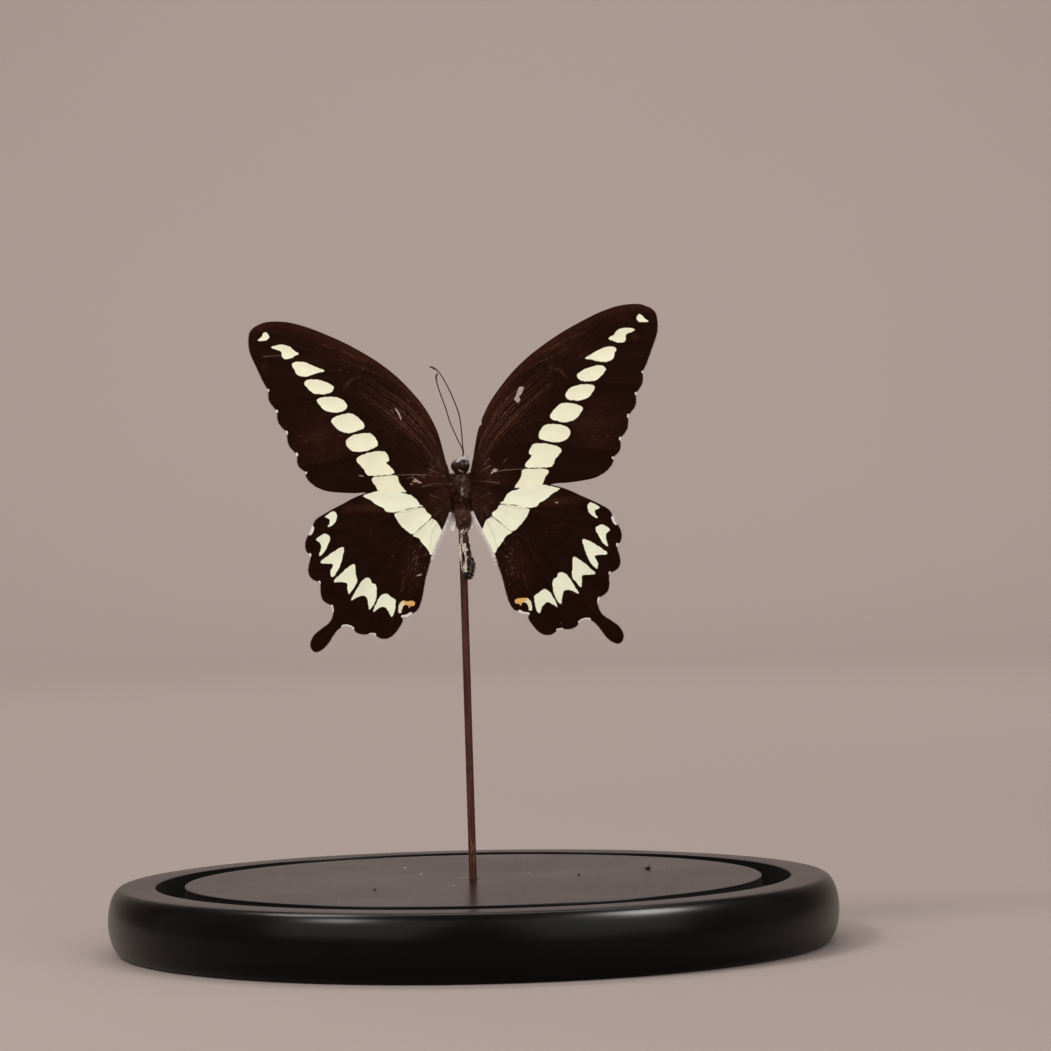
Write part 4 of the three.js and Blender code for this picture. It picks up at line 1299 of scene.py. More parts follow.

# %% [markdown]
# ## The thorax
#
# The thorax is the barrel that carries wings and legs. It is modelled as ellipses through given stations,
# with a shallow groove down the middle of its back, and then covered in short dark fur that lies back
# towards the abdomen. Two pale streaks on the back are rubbed bare, and brighter hairs mark them.

# %% Stations of the body
# Each station is (across, behind, up, half width, half depth), from the tail end up.
THORAX_STATIONS = [
    (0.1, 1.6, -4.1, 0.5, 0.6), (0.1, 1.6, -3.7, 1.4, 1.7), (0.05, 1.6, -2.4, 2.3, 2.8),
    (0, 1.6, -0.4, 2.95, 3.45),
    (0, 1.6, 1.8, 2.75, 3.25), (0, 1.5, 3.3, 1.95, 2.35), (0, 1.4, 4.1, 1.2, 1.4),
]
SIDES_ROUND = 96


def body_place(rows, ring, angle):
    """The middle at that ring plus (half width·cos angle, half depth·sin angle, 0)."""
    steps = np.arange(len(rows))
    across, behind, up, width, depth = (np.interp(ring, steps, column) for column in rows.T)
    return np.stack([across + width * np.cos(angle), behind + depth * np.sin(angle), up], -1)


def body_normal(rows, ring, angle):
    """Square to the surface: the step round it crossed with the step up it."""
    ring = np.clip(ring, 0.6, len(rows) - 1.6)
    up_step = body_place(rows, ring + 0.5, angle) - body_place(rows, ring - 0.5, angle)
    round_step = body_place(rows, ring, angle + 0.02) - body_place(rows, ring, angle - 0.02)
    return unit(np.cross(round_step, up_step))


def body_grid(rows, sides=SIDES_ROUND):
    """Rings, angles and places of a whole body."""
    ring = np.arange(len(rows), dtype=float)[:, None] + np.zeros((1, sides))
    angle = np.linspace(0, 2 * np.pi, sides, endpoint=False)[None] + np.zeros((len(rows), 1))
    return ring, angle, body_place(rows, ring, angle)


thorax_rows = spline(THORAX_STATIONS, 14)
thorax_rows[:, 3:] = np.maximum(thorax_rows[:, 3:], 0.2)
ring, angle, thorax_grid = body_grid(thorax_rows)
groove = 0.22 * np.exp(-((thorax_grid[..., 0]) / 0.35) ** 2) * (np.sin(angle) < 0)
sunk = groove - 0.10 * ripple(thorax_grid, 1.6, 21)
thorax_grid -= sunk[..., None] * body_normal(thorax_rows, ring, angle)


# %% Skin under the fur
def body_finish(name, stops, roughness=(0.45, 0.65), grain_scale=2600, shine=0.2):
    """A dry skin coloured by its stored tone, with noise that breaks up the tone, the shine and the
    surface."""
    f = Finish(name, Specular_IOR_Level=shine)
    grain = f.noise(f.place(), grain_scale, 3.0, 0.6)
    blotch = f.noise(f.place(), 700, 2.0)
    tone = f.sum(f.stored("tone"), f.times(f.sum(grain, -0.5), 0.22), f.times(f.sum(blotch, -0.5), 0.14))
    f.set(Base_Color=f.ramp(tone, stops))
    f.set(Roughness=f.spread(grain, 0.3, 0.7, *roughness))
    f.set(Normal=f.bump(f.sum(grain, f.times(blotch, 0.8)), 0.00005, 0.6))
    return f.material


SHELL_RAMP = [(0.0, (0.008, 0.005, 0.004)), (0.5, (0.042, 0.018, 0.011)), (1.0, (0.36, 0.26, 0.19))]
thorax_skin = body_finish("thorax_skin", SHELL_RAMP, (0.5, 0.7))
thorax_tone = np.full(thorax_grid.shape[:2], 0.25) + 0.25 * np.exp(-((thorax_grid[..., 0] - 0.8) / 0.8) ** 2)
places, faces = closed_body(thorax_grid)
tones = np.r_[thorax_tone.ravel(), 0.2, 0.2]
make_piece("thorax_shell", set_on_rod(places), faces, thorax_skin, "body_fur", ["thorax"], {"tone": tones})

# %% Fur on the thorax
THORAX_HAIRS = 9000
# Rubbed spots on its back, as (across, up, half width, half height, strength).
THORAX_PALE_SPOTS = [
    (0.35, -0.4, 0.42, 1.8, 0.75), (1.5, -0.7, 0.36, 1.4, 0.50),
    (-2.2, 1.4, 0.5, 1.8, 0.22), (0.9, 2.6, 0.9, 0.7, 0.10),
]


def body_hairs(rows, count, seed, low=0.0, high=1.0):
    """Random places on a body, more of them where it is wider, with the outward direction at each."""
    random = np.random.default_rng(seed)
    steps = np.arange(len(rows))
    weight = np.cumsum(rows[:, 3] * ((steps >= low * (len(rows) - 1)) & (steps <= high * (len(rows) - 1))))
    ring = np.interp(random.uniform(weight[0], weight[-1], count), weight, steps)
    angle = random.uniform(0, 2 * np.pi, count)
    return random, body_place(rows, ring, angle), body_normal(rows, ring, angle), angle


random, roots, normals, angle = body_hairs(thorax_rows, THORAX_HAIRS, 5)
down = np.array([0, 0, -1.0])
sideways = np.abs(np.cos(angle))[:, None] ** 3
ways = (0.36 + 0.5 * sideways) * normals + 0.9 * down + random.normal(0, 0.32, normals.shape)
olive = np.clip((roots[:, 2] - 0.5) / 4, 0, 1) * np.clip(0.6 - roots[:, 0] / 3, 0, 1)
clumps = 0.20 * ripple(roots, 1.1, 6)
tones = 0.13 + 0.30 * random.random(THORAX_HAIRS)**1.5 + 0.07 * olive + clumps
front_side = roots[:, 1] < 1.0
for spot in THORAX_PALE_SPOTS:
    pale = soft_spots(roots[:, [0, 2]], [spot])
    tones += pale * front_side * (random.random(THORAX_HAIRS) < 0.55)
tones = np.clip(tones, 0.02, 0.85)
lengths = random.uniform(0.6, 1.2, THORAX_HAIRS) + 1.1 * sideways[:, 0] * random.random(THORAX_HAIRS)
make_hairs("thorax_fur", HAIR, "body_fur", roots - 0.1 * normals, ways, lengths, 0.045, tones, 0.18 * down)

# %% [markdown]
# ### Where the wings meet the body
#
# A small pad covers each forewing's hinge, and long hairs lie out along the base of every wing and hide
# the gap between sheet and body.

# %% Hinge pads and long hairs on the wing bases
def oval(middle, radii, rings=28, sides=40, uneven=0.0, seed=0):
    """A closed oval: middle + radii·(cos b·cos a, cos b·sin a, sin b), with b from pole to pole."""
    b = np.linspace(-np.pi / 2 + 0.04, np.pi / 2 - 0.04, rings)[:, None]
    a = np.linspace(0, 2 * np.pi, sides, endpoint=False)[None]
    ball = np.stack([np.cos(b) * np.cos(a), np.cos(b) * np.sin(a), np.sin(b) + 0 * a], -1)
    grid = np.array(middle) + ball * np.array(radii)
    return grid + uneven * ripple(grid, 1.1, seed)[..., None] * ball


for side, word in ((1, "right"), (-1, "left")):
    pad = oval((side * 2.6, 0.75, 3.0), (0.62, 0.42, 1.2), uneven=0.08, seed=31)
    places, faces = closed_body(pad)
    make_piece(f"{word}_hinge_pad", set_on_rod(places), faces, thorax_skin, "body_fur",
               values={"tone": np.full(len(places), 0.2)})

WING_BASE_HAIRS = 640
for number, (name, net) in enumerate(WINGS.items()):
    random = np.random.default_rng(60 + number)
    side = 1 if name.startswith("right") else -1
    row = (random.beta(1.0, 2.6, WING_BASE_HAIRS) * 26).astype(int)
    column = random.integers(4, NET_COLUMNS - 4, WING_BASE_HAIRS)
    roots = net[row, column] - np.array([0, 0.03, 0])
    ways = unit(net[row + 6, column] - net[row, column]) + np.array([0, -0.22, 0])
    ways += random.normal(0, 0.12, ways.shape)
    tones = np.clip(random.normal(0.24, 0.12, WING_BASE_HAIRS), 0.03, 0.7)
    lengths = random.uniform(0.9, 2.4, WING_BASE_HAIRS)
    make_hairs(f"{name}_base_hair", HAIR, "wing_scales", roots, ways, lengths, 0.035, tones)

# %% [markdown]
# ## The head
#
# The head is a short capsule, turned so that its right eye faces the front. The eyes are big, dark and
# glossy, with a mesh of facets. A tuft of white hair stands over the right eye, and a pale collar runs
# below it.

# %% Head shell
HEAD_STATIONS = [
    (0.15, 1.1, 3.6, 0.9, 1.1), (0.2, 0.95, 4.7, 1.25, 1.5), (0.25, 0.9, 6.1, 1.5, 1.9),
    (0.5, 1, 7.5, 1.2, 1.5),
    (0.65, 1, 8.25, 0.6, 0.8),
]
head_rows = spline(HEAD_STATIONS, 12)
ring, angle, head_grid = body_grid(head_rows, 64)
head_grid += 0.07 * ripple(head_grid, 1.0, 8)[..., None] * body_normal(head_rows, ring, angle)
places, faces = closed_body(head_grid)
make_piece("head_shell", set_on_rod(places), faces, thorax_skin, "dark_shell", ["head"],
           {"tone": np.full(len(places), 0.25)})

# %% Eyes
EYES_AT = np.array([0.2, 0.9, 6.05])
EYE_OFFSET = 1.25
EYE_RADIUS = 1.65
HEAD_TURN = np.radians(40)


def head_place(across, behind, up):
    """A place measured from EYES_AT in the head's own directions, which are turned by HEAD_TURN."""
    cos, sin = np.cos(HEAD_TURN), np.sin(HEAD_TURN)
    return EYES_AT + np.array([across * cos + behind * sin, behind * cos - across * sin, up])


def eye_finish():
    """Two dark browns mixed by cloud noise, raised into facets by the distance to scattered dots."""
    f = Finish("eye_gloss", Specular_IOR_Level=0.19, Specular_Tint=(1.0, 0.82, 0.72, 1.0))
    facets = f.cells(f.place(), 7800)
    cloud = f.noise(f.place(), 900, 2.0)
    f.set(Base_Color=f.mix(f.spread(cloud, 0.35, 0.65), (0.006, 0.004, 0.004), (0.026, 0.014, 0.011)))
    f.set(Roughness=f.spread(cloud, 0.3, 0.7, 0.32, 0.44))
    f.set(Normal=f.bump(facets, 0.00002, 0.7))
    return f.material


EYE = eye_finish()
for side, word in ((1, "right"), (-1, "left")):
    eye_radii = (EYE_RADIUS, EYE_RADIUS, EYE_RADIUS * 1.02)
    ball = oval(head_place(side * EYE_OFFSET, 0, 0), eye_radii, 56, 72, 0.015, 3)
    places, faces = closed_body(ball)
    make_piece(f"{word}_eye", set_on_rod(places), faces, EYE, "dark_shell")

# %% Hair on the head, its white tuft and the pale collar
HEAD_HAIRS = 1500
random, roots, normals, angle = body_hairs(head_rows, HEAD_HAIRS, 9)
ways = 0.8 * normals + random.normal(0, 0.35, normals.shape)
tones = np.clip(random.normal(0.22, 0.10, HEAD_HAIRS), 0.05, 0.55)
make_hairs("head_hair", HAIR, "body_fur", roots - 0.1 * normals, ways, random.uniform(0.3, 0.75, HEAD_HAIRS),
           0.03, tones)


def arc_tuft(name, middle, radius, start, stop, count, seed, length, tone, lift):
    """Hairs whose roots lie round an eye, at middle + radius·(cos a, y, sin a), with a between two angles
    in degrees. Each points away from the middle and forwards."""
    random = np.random.default_rng(seed)
    a = np.radians(random.uniform(start, stop, count))
    out = np.stack([np.cos(a), 0 * a, np.sin(a)], -1)
    roots = middle + radius * out + np.stack([0 * a, random.normal(lift, 0.16, count), 0 * a], -1)
    forward = np.stack([0 * a, random.uniform(-0.9, 0.1, count), 0 * a], -1)
    ways = out + forward + random.normal(0, 0.22, out.shape)
    tones = np.clip(random.normal(tone, 0.07, count), 0, 1)
    lengths = random.uniform(0.6, 1.1, count) * length
    make_hairs(name, HAIR, "body_fur", roots, ways, lengths, 0.045, tones)


right_eye = head_place(EYE_OFFSET, 0, 0)
arc_tuft("crown_tuft", right_eye, 1.60, 52, 146, 900, 14, 1.0, 1.0, -0.55)
arc_tuft("collar_tuft", right_eye, 1.58, 205, 262, 150, 15, 0.42, 0.80, -0.55)
arc_tuft("neck_fur", right_eye + np.array([-0.9, 0.8, -0.6]), 1.6, 190, 350, 420, 16, 0.8, 0.28, -0.5)

# %% [markdown]
# ## Feelers, tongue, palps and legs
#
# These are all tubes along a route. A feeler is a chain of short joints that ends in a slight club. A leg
# has a stout thigh, a thin shin with spines and a foot of five joints. The tongue is coiled like a watch
# spring.

# %% Feelers
RIGHT_ANTENNA = [(1.05, 0.7, 8.2), (1.2, 0.5, 9.2), (1.25, 0.3, 10), (1.1, 0, 11.6), (1, -0.6, 15.3),
                 (0.6, -1.2, 19.8), (-0.85, -1.8, 24.5), (-2.8, -2.3, 29.1), (-4.5, -2.5, 32),
                 (-6, -2.5, 33.1), (-6.9, -2.5, 33.4)]
LEFT_ANTENNA = [(0.7, 1.4, 8.2), (1.0, 1.45, 9.2), (1.1, 1.5, 9.8), (0.9, 1.6, 10.8), (-0.45, 1.7, 14),
                (-2, 1.8, 18), (-3.15, 1.8, 22.4), (-4.55, 1.8, 26.9), (-5.25, 1.8, 30.2),
                (-4.8, 1.8, 31.8)]
ANTENNA_JOINTS = 46
chitin = body_finish("dark_chitin", SHELL_RAMP, (0.34, 0.48), shine=0.35)


def antenna(name, points, club):
    """Radius = 0.15 + 0.035·|sin(π·joints·s)| along the length s, plus a club that swells over the last
    tenth and closes at the tip, plus a ball at the foot."""
    path = evenly(spline(points, 12), 360)
    s = np.linspace(0, 1, len(path))
    radii = 0.150 + 0.035 * np.abs(np.sin(np.pi * ANTENNA_JOINTS * s)) ** 0.6
    radii += club * np.exp(-((s - 0.955) / 0.035) ** 2) + 0.16 * np.exp(-(s / 0.012) ** 2)
    radii *= np.clip((1 - s) / 0.012, 0.25, 1) ** 0.5
    places, faces = closed_body(tube(path, radii, 14, np.array([0.0, 1.0, 0.0])))
    tones = np.r_[np.repeat(0.38 + 0.45 * np.exp(-(s / 0.05) ** 2), 14), 0.8, 0.1]
    make_piece(f"{name}_feeler", set_on_rod(places), faces, chitin, "dark_shell", [name], {"tone": tones})


antenna("right_antenna", RIGHT_ANTENNA, 0.13)
antenna("left_antenna", LEFT_ANTENNA, 0.09)

# %% Tongue
TONGUE_TURNS = 2.6
theta = np.linspace(0, 2 * np.pi * TONGUE_TURNS, 260)
coil_radius = np.linspace(0.84, 0.2, len(theta))
turns = np.stack([0 * theta, coil_radius * np.cos(theta), coil_radius * np.sin(theta)], -1)
coil = head_place(0, 3.3, 0.2) + turns
coil_radii = np.interp(np.linspace(0, 1, len(theta)), [0, 0.04, 0.5, 1], [0.09, 0.13, 0.11, 0.05])
places, faces = closed_body(tube(coil, coil_radii, 12, np.array([1.0, 0, 0])))
make_piece("tongue_coil", set_on_rod(places), faces, chitin, "dark_shell", ["tongue"],
           {"tone": np.full(len(places), 0.45)})

# %% Palps
for side, word in ((1, "right"), (-1, "left")):
    middle = head_place(side * 0.55, 2.3, 1.7)
    places, faces = closed_body(oval(middle, (0.4, 0.45, 0.8), 24, 32, 0.05, 12))
    make_piece(f"{word}_palp_core", set_on_rod(places), faces, thorax_skin, "pale_scales", [f"{word}_palp"],
               {"tone": np.full(len(places), 0.75)})
    random = np.random.default_rng(80 + side)
    out = unit(random.normal(size=(260, 3)))
    roots = middle + out * np.array([0.38, 0.43, 0.78])
    ways = out + np.array([0, 0.2, 0.6]) + random.normal(0, 0.2, out.shape)
    make_hairs(f"{word}_palp_hair", HAIR, "pale_scales", roots, ways, random.uniform(0.2, 0.5, 260), 0.03,
               np.clip(random.normal(0.85, 0.08, 260), 0, 1))

# %% Legs
LEG_ROUTES = {
    "front": [(2.1, 4.7, 2.3), (3.5, 5.8, 4.6), (4.6, 5.6, 6.4), (5, 4.9, 4), (4.7, 4.6, 1.8),
              (5.6, 4.4, 0.2)],
    "middle": [(2.4, 4.8, -0.3), (4.8, 6.2, 0.2), (7.4, 6, 1.4), (7.9, 5.2, -1), (7.3, 4.6, -3.6),
               (8, 4.4, -6)],
    "hind": [(2.1, 4.6, -2.8), (3.8, 6.2, -3.6), (6, 6, -2.6), (6.2, 5.2, -5.6), (5.2, 4.7, -9),
             (5.6, 4.5, -12)],
}
HIP_AT = np.array([1.5, 4.0, 0.0])
LEG_PROFILE_AT = [0, 0.06, 0.2, 0.36, 0.40, 0.43, 0.58, 0.76, 0.78, 1.0]
LEG_PROFILE = [0.42, 0.36, 0.33, 0.24, 0.17, 0.22, 0.19, 0.22, 0.14, 0.12]
FOOT_JOINTS = 5
LEG_SPINES = 90


def leg(side, word, name, seed):
    """A tube whose radius follows LEG_PROFILE along its length. The foot's last fifth is beaded by
    1 + 0.25·|sin|, and spines stand out of shin and foot."""
    points = np.array(LEG_ROUTES[name], float)
    hip = np.array([HIP_AT[0], HIP_AT[1], points[0, 2]])
    points = np.vstack([hip, points]) * np.array([side, 1, 1])
    path = evenly(spline(points, 12), 220)
    s = np.linspace(0, 1, len(path))
    radii = np.interp(s, LEG_PROFILE_AT, LEG_PROFILE)
    foot = s > 0.78
    radii[foot] *= 0.85 + 0.3 * np.abs(np.sin(np.pi * FOOT_JOINTS * (s[foot] - 0.78) / 0.22))
    radii *= np.clip((1 - s) / 0.01, 0.3, 1) ** 0.5
    towards = np.array([0.3, 1.0, 0.2])
    places, faces = closed_body(tube(path, radii, 14, towards))
    tones = np.r_[np.repeat(0.16 + 0.2 * s, 14), 0.2, 0.35]
    node = f"{word}_{name}_leg"
    make_piece(f"{node}_limb", set_on_rod(places), faces, chitin, "dark_shell", [node], {"tone": tones})
    random = np.random.default_rng(seed)
    at = random.integers(int(0.42 * len(path)), len(path) - 3, LEG_SPINES)
    along = unit(np.gradient(path, axis=0))[at]
    away = unit(np.cross(along, random.normal(size=along.shape)))
    roots = path[at] + 0.6 * radii[at][:, None] * away
    lengths = random.uniform(0.25, 0.5, LEG_SPINES)
    make_hairs(f"{node}_spines", HAIR, "dark_shell", roots, away + 0.9 * along, lengths, 0.025, 0.12)


for side, word in ((1, "right"), (-1, "left")):
    for number, name in enumerate(LEG_ROUTES):
        leg(side, word, name, 90 + number + 10 * side)

# %% [markdown]
# ## The abdomen
#
# The abdomen has dried out. Its upper third is still a furry brown bulb with ring joints. Below it the
# skin has shrunk to a waist, and the end has split and curled: a cream fold makes a loop round a dark
# slit on the left, and the right side is black and crumpled. Sculpting it by hand would leave nothing to
# read, so its rings are pushed in and out by named folds, each a wave or a bell curve.

# %% The abdomen's shape
ABDOMEN_STATIONS = [
    (1.0, 2.9, -24.9, 0.35, 0.4), (0.95, 2.9, -24.2, 1.0, 0.85), (0.95, 2.85, -22.6, 1.5, 1.2),
    (0.9, 2.8, -21, 1.75, 1.3), (0.5, 2.7, -19, 1.6, 1.25), (0.2, 2.6, -16.5, 1.2, 1.1),
    (0.3, 2.5, -13.8, 0.95, 1.0), (0.27, 2.45, -12.4, 1.1, 1.2), (0.3, 2.4, -10.7, 1.55, 1.5),
    (0.25, 2.2, -9.3, 2.08, 1.95), (0.28, 2, -7.6, 2.34, 2.15), (0.2, 1.8, -5.8, 2.00, 1.85),
    (0.2, 1.7, -4.6, 1.4, 1.2), (0.2, 1.6, -4.1, 0.6, 0.5),
]
RING_SPACING = 1.25
abdomen_rows = spline(ABDOMEN_STATIONS, 22)
abdomen_rows[:, 3:] = np.maximum(abdomen_rows[:, 3:], 0.15)
ring, angle, abdomen_grid = body_grid(abdomen_rows, 120)
across, behind, up = np.moveaxis(abdomen_grid, -1, 0)
facing = np.clip(-np.sin(angle), 0, 1)  # 1 on the side towards the front
dried = 1 / (1 + np.exp((up + 12.9) / 0.5))  # 0 on the bulb, 1 on the shrivelled end


def bell(value, middle, width):
    """exp(-((value - middle)/width)²)."""
    return np.exp(-((value - middle) / width) ** 2)


joints = 0.10 * bell((up + 4.6) % RING_SPACING, RING_SPACING / 2, 0.13) * (1 - dried)
folds = dried * (0.22 * np.sin(6 * angle + 1.1 * up) + 0.22 * ripple(abdomen_grid, 1.5, 17)
                 + 0.10 * ripple(abdomen_grid, 0.6, 18))
slit = 0.85 * bell(across, -0.12, 0.26) * bell(up, -19.2, 1.5) * facing
loop_ridge = 0.42 * (bell(across, -0.85, 0.32) + bell(across, 0.42, 0.30)) * bell(up, -19, 3.6) * facing
seam = 0.55 * bell(across, 0.95, 0.18) * bell(up, -19.5, 4.0) * facing
crease = 0.35 * bell(across, -0.05, 0.16) * bell(up, -14.6, 1.2) * facing
push = -joints + folds - slit + loop_ridge - seam - crease + 0.06 * ripple(abdomen_grid, 0.9, 19)
abdomen_grid += push[..., None] * body_normal(abdomen_rows, ring, angle)

# %% The abdomen's tones, from black to cream
# The bulb's tone dips in a band at its top, where it meets the thorax: painted shade. The rest of its tone
# varies at random.
bulb_tone_and_shade = 0.46 + 0.10 * ripple(abdomen_grid, 1.0, 23) - 0.22 * bell(up, -5.0, 0.7)
low_bulb = bell(up, -11.6, 1.0) * facing * (0.35 + 0.9 * ripple(abdomen_grid, 0.8, 24))
waist = np.where(across < -0.05, 0.80, 0.36)
fold_tone = 0.90 - 0.55 * bell(across, -0.55, 0.13) + 0.22 * ripple(abdomen_grid, 0.7, 25)
fold_tone = fold_tone - 1.0 * bell(across, -0.12, 0.24) * bell(up, -19.2, 1.5)
black_side = 0.08 + 0.30 * np.clip(ripple(abdomen_grid, 0.5, 26), 0, 1)
end_tone = np.where(across + 0.4 * ripple(abdomen_grid, 1.3, 29) < 0.78, fold_tone, black_side)
end_tone = np.where(up < -23.0, 0.05, end_tone)
end_tone = np.where(up > -15.2, waist + 0.15 * ripple(abdomen_grid, 0.6, 27), end_tone)
end_tone = np.where(facing > 0.05, end_tone, 0.30 + 0.25 * ripple(abdomen_grid, 1.2, 28))
abdomen_tone = np.clip((bulb_tone_and_shade + low_bulb) * (1 - dried) + end_tone * dried, 0, 1)

ABDOMEN_RAMP = [
    (0.0, (0.007, 0.005, 0.0045)),
    (0.25, (0.026, 0.0095, 0.0060)),
    (0.45, (0.082, 0.030, 0.0165)),
    (0.70, (0.32, 0.22, 0.165)),
    (1.0, (0.84, 0.80, 0.66)),
]
abdomen_skin = body_finish("abdomen_skin", ABDOMEN_RAMP, (0.42, 0.62), 3600)
places, faces = closed_body(abdomen_grid)
make_piece("abdomen_body", set_on_rod(places), faces, abdomen_skin, "abdomen_skin", ["abdomen"],
           {"tone": np.r_[abdomen_tone.ravel(), 0.05, 0.3]})

# %% Hair on the abdomen
BULB_HAIRS = 3400
random, roots, normals, angle = body_hairs(abdomen_rows, BULB_HAIRS, 33, 0.60, 1.0)
ways = 0.35 * normals + 0.95 * down + random.normal(0, 0.28, normals.shape)
rim_glow = 0.60 * np.clip(np.abs(np.cos(angle)) - 0.55, 0, 1)
tones = np.clip(random.normal(0.33, 0.11, BULB_HAIRS) + 0.12 * ripple(roots, 1.0, 35) + rim_glow, 0.04, 0.75)
lengths = random.uniform(0.4, 1.0, BULB_HAIRS)
make_hairs("abdomen_fur", HAIR, "abdomen_skin", roots - 0.08 * normals, ways, lengths, 0.04, tones)

COLLAR_HAIRS = 1100
COLLAR_MIDDLE = np.array([0.15, 1.65, -3.7])
COLLAR_RADIUS = 1.75
random = np.random.default_rng(36)
angle = random.uniform(0, 2 * np.pi, COLLAR_HAIRS)
normals = np.stack([np.cos(angle), np.sin(angle), 0 * angle], -1)
roots = COLLAR_MIDDLE + COLLAR_RADIUS * normals
roots[:, 2] += random.normal(0, 0.3, COLLAR_HAIRS)
ways = 0.22 * normals + down + random.normal(0, 0.16, normals.shape)
tones = np.clip(random.normal(0.30, 0.11, COLLAR_HAIRS) + 0.12 * np.abs(np.cos(angle)), 0.04, 0.7)
lengths = random.uniform(1.1, 2.3, COLLAR_HAIRS)
make_hairs("waist_collar_fur", HAIR, "abdomen_skin", roots, ways, lengths, 0.038, tones)

random, roots, normals, angle = body_hairs(abdomen_rows, 2600, 34, 0.0, 0.42)
keep = (roots[:, 0] > 1.3) | (random.random(len(roots)) < 0.10)
roots, normals = roots[keep], normals[keep]
ways = 0.9 * normals + 0.5 * down + random.normal(0, 0.35, normals.shape)
tones = np.where(random.random(len(roots)) < 0.22, 0.80, 0.15)
lengths = random.uniform(0.3, 0.8, len(roots))
make_hairs("abdomen_end_hair", HAIR, "abdomen_skin", roots, ways, lengths, 0.028, tones)

# %% [markdown]
# ### The flaps of dried skin
#
# A thin curved leaf hangs on each side of the bulb, a broad one on the left and a narrow one on the
# right. They are brown and fuzzy above, pale skin below, and let a little light through by plain
# transmission.

# %% The flaps' surface
def leaf(start, end, width, depth_bow, thick, steps=48, across_steps=20):
    """A closed leaf from start to end: half width = width·sin(π·s)^0.6, bowed by depth_bow·(1 - v²)
    behind, where s runs along it and v across it, and thick all over."""
    s = np.linspace(0.015, 0.985, steps)[:, None]
    v = np.linspace(-1, 1, across_steps)[None]
    spine = np.array(start) + s[..., None] * (np.array(end) - np.array(start))
    half = width * np.sin(np.pi * s) ** 0.6
    middle = spine + np.stack([half * v, depth_bow * (1 - v**2) * np.sin(np.pi * s), 0.15 * half * v], -1)
    middle = middle + 0.10 * ripple(middle, 1.4, 51)[..., None] * np.array([0.3, 1.0, 0.2])
    front, back = middle - [0, thick / 2, 0], middle + [0, thick / 2, 0]
    return np.concatenate([front, back[:, ::-1]], axis=1)


def flap_finish():
    """Two pale skins mixed by noise that is stretched along the flap, and brown fuzz above a height."""
    f = Finish("dry_membrane", Transmission_Weight=0.08, IOR=1.3, Specular_IOR_Level=0.3)
    veins = f.noise(f.stretched(f.place(), (900, 900, 260)), 1.0, 3.0)
    skin = f.mix(f.spread(veins, 0.3, 0.7), (0.94, 0.92, 0.90), (0.80, 0.73, 0.68))
    height = f.add("ShaderNodeSeparateXYZ", {0: f.place()}, "Z")
    furred = f.spread(f.sum(height, f.times(f.sum(veins, -0.5), 0.004)), 0.1160, 0.1192)
    f.set(Base_Color=f.mix(furred, skin, (0.050, 0.020, 0.012)))
    f.set(Roughness=f.spread(veins, 0.3, 0.7, 0.35, 0.55))
    f.set(Normal=f.bump(veins, 0.00006, 0.6))
    return f.material


membrane = flap_finish()
for name, start, end, width in (
    ("left_skin_flap", (-2.25, 3.4, -2.6), (-2.80, 0.4, -11.7), 1.12),
    ("right_skin_flap", (2.60, 3.2, -2.6), (2.70, 1.2, -11.0), 0.66),
):
    places, faces = closed_body(leaf(start, end, width, -0.25, 0.06))
    make_piece(name, set_on_rod(places), faces, membrane, "abdomen_skin")

# %% [markdown]
# ## The glue
#
# A bead of clear glue beds the thorax on the rod's top end. It is a lump with a drawn-down lower end, and
# it is see-through by plain transmission.

# %% The glue bead
def glue_finish():
    """Clear glue, yellower and rougher where the cloud noise is high."""
    f = Finish("clear_glue", Transmission_Weight=0.85, IOR=1.48)
    cloud = f.noise(f.place(), 420, 3.0)
    f.set(Base_Color=f.mix(cloud, (0.93, 0.89, 0.80), (0.85, 0.78, 0.66)))
    f.set(Roughness=f.spread(cloud, 0.35, 0.7, 0.08, 0.26))
    f.set(Normal=f.bump(f.noise(f.place(), 900, 2.0), 0.00008, 0.5))
    return f.material


glue_low, glue_high = (np.array(corner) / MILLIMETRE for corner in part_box("glue_bead"))
glue_middle = (glue_low + glue_high) / 2
b = np.linspace(-np.pi / 2 + 0.05, np.pi / 2 - 0.05, 48)[:, None]
a = np.linspace(0, 2 * np.pi, 64, endpoint=False)[None]
taper = 1 - 0.28 * np.clip(-np.sin(b), 0, 1)
glue_ball = np.stack([taper * np.cos(b) * np.cos(a), taper * np.cos(b) * np.sin(a), np.sin(b) + 0 * a], -1)
glue_swell = (1 + 0.05 * ripple(glue_ball, 1.2, 61))[..., None]
glue_grid = glue_middle + glue_ball * (glue_high - glue_low) / 2 * glue_swell
places, faces = closed_body(glue_grid)
make_piece("glue_lump", places, faces, glue_finish(), "clear_glue", ["glue_bead"])

# %% [markdown]
# ## Dust and a crumb on the base
#
# Fine specks of lint and six larger grains lie on the lacquer, a reddish crumb with three thin spikes lies
# to the right of the rod, and there is a short pale scratch beside the rod's foot. They are small solids
# that rest on the flat top.

# %% Specks of lint
def speck_finish(name, light, dark):
    """A dull finish: light and dark mixed by noise, with a rough surface."""
    f = Finish(name, Roughness=0.8, Specular_IOR_Level=0.2)
    f.set(Base_Color=f.mix(f.noise(f.place(), 1500, 2.0), light, dark))
    f.set(Normal=f.bump(f.noise(f.place(), 6000, 2.0), 0.00003, 0.6))
    return f.material


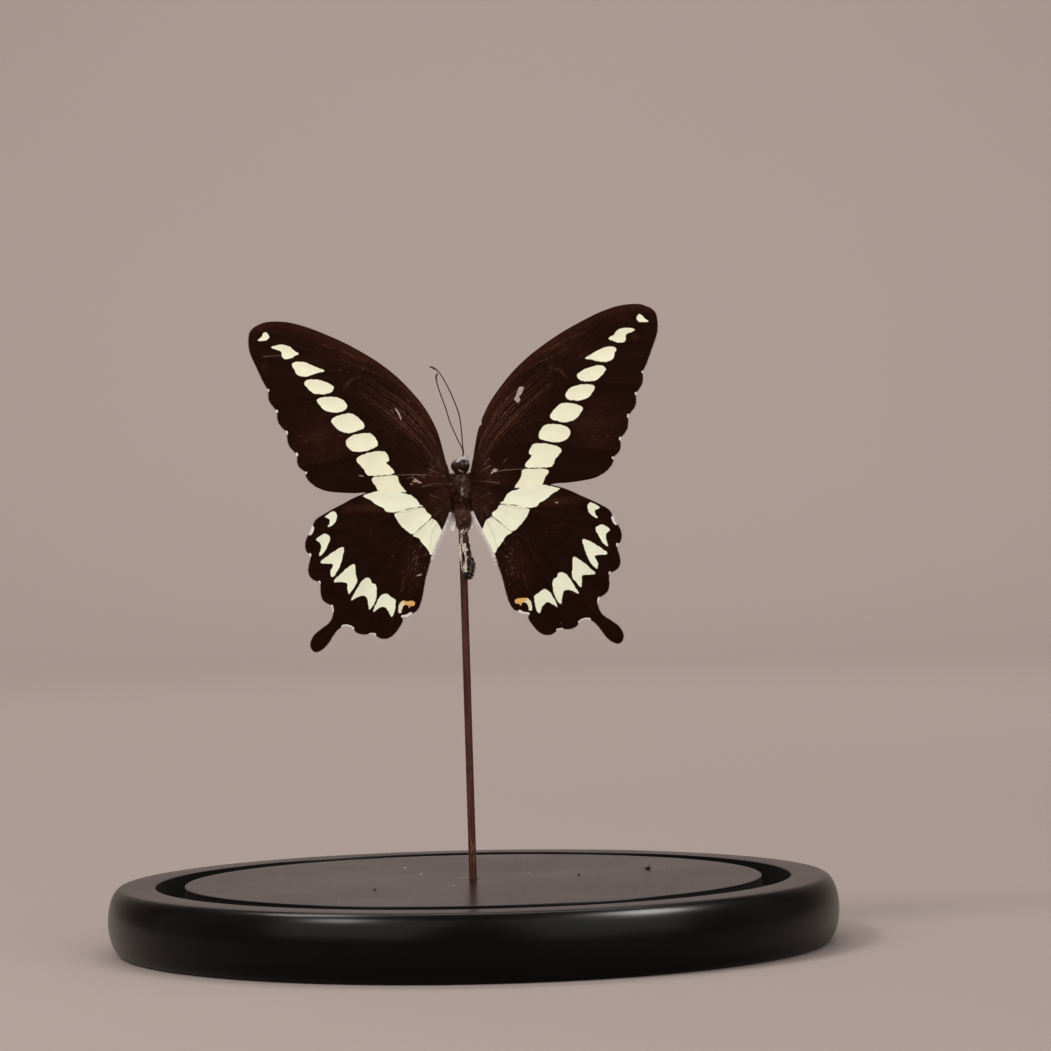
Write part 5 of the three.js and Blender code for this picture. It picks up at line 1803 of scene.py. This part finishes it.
SPECKS = 90
random = np.random.default_rng(71)
reach = GROOVE_RADII[0] * 0.97 * np.sqrt(random.random(SPECKS))
turn = random.uniform(0, 2 * np.pi, SPECKS)
middles = np.stack([reach * np.cos(turn), reach * np.sin(turn), np.full(SPECKS, BASE_THICKNESS + 0.03)], -1)
heading = random.uniform(0, 2 * np.pi, SPECKS)
ways = np.stack([np.cos(heading), np.sin(heading), 0 * heading], -1)
lengths = random.uniform(0.15, 0.6, SPECKS)
places, faces = hair_mesh(middles, ways, lengths, random.uniform(0.03, 0.08, SPECKS))
make_piece("dust_specks", places, faces, speck_finish("lint", (0.55, 0.50, 0.46), (0.30, 0.26, 0.23)),
           "black_lacquered_wood")

# %% The crumb
CRUMB_AT = np.array([48.5, 19.5, BASE_THICKNESS + 0.32])
crumb = oval(CRUMB_AT, (0.75, 0.5, 0.4), 20, 28, 0.12, 72)
places, faces = closed_body(crumb)
crumb_brown = speck_finish("crumb_brown", (0.060, 0.022, 0.014), (0.020, 0.008, 0.006))
make_piece("crumb", places, faces, crumb_brown, "black_lacquered_wood")
leg_roots = CRUMB_AT + np.array([[0.4, 0, 0.2], [-0.5, 0.1, 0.0], [0.5, -0.1, 0.1]])
leg_ways = np.array([[0.25, 0.1, 1.0], [-1.0, -0.1, 0.02], [0.8, -0.5, 0.25]])
places, faces = hair_mesh(leg_roots, leg_ways, np.array([1.5, 1.3, 0.7]), 0.11)
make_piece("crumb_legs", places, faces, crumb_brown, "black_lacquered_wood")

# %% Larger grains
GRAINS = {
    # name: (x, y, half length, pale or brown)
    "grain_left": (-14.8, 14.5, 0.40, "pale"),
    "grain_front": (-5.0, -21.3, 0.32, "pale"),
    "grain_far": (-19.9, 36.5, 0.38, "pale"),
    "grain_faint": (15.4, 12.3, 0.26, "pale"),
    "grain_dark": (-26.0, -28.4, 0.45, "brown"),
    "grain_reddish": (29.0, 4.7, 0.42, "brown"),
}
pale_grain = speck_finish("pale_grain", (0.62, 0.56, 0.50), (0.40, 0.34, 0.30))
grain_colours = {"pale": pale_grain, "brown": crumb_brown}
for number, (name, (x, y, half, colour)) in enumerate(GRAINS.items()):
    middle = (x, y, BASE_THICKNESS + 0.45 * half)
    grid = oval(middle, (half, 0.6 * half, 0.45 * half), 12, 16, 0.12 * half, 73 + number)
    places, faces = closed_body(grid)
    make_piece(name, places, faces, grain_colours[colour], "black_lacquered_wood")

# %% The pale line beside the rod's foot
FOOT_PALE_LINE = [(-4.3, 2.6, BASE_THICKNESS), (-3.4, 2.45, BASE_THICKNESS), (-2.3, 2.5, BASE_THICKNESS),
           (-1.0, 2.4, BASE_THICKNESS)]
foot_line_path = evenly(spline(FOOT_PALE_LINE, 6), 30)
places, faces = closed_body(tube(foot_line_path, 0.07, 8, np.array([0.0, 0, 1])))
make_piece("pale_foot_line", places, faces, speck_finish("pale_line_finish", (0.42, 0.33, 0.28), (0.30, 0.22, 0.18)),
           "black_lacquered_wood")
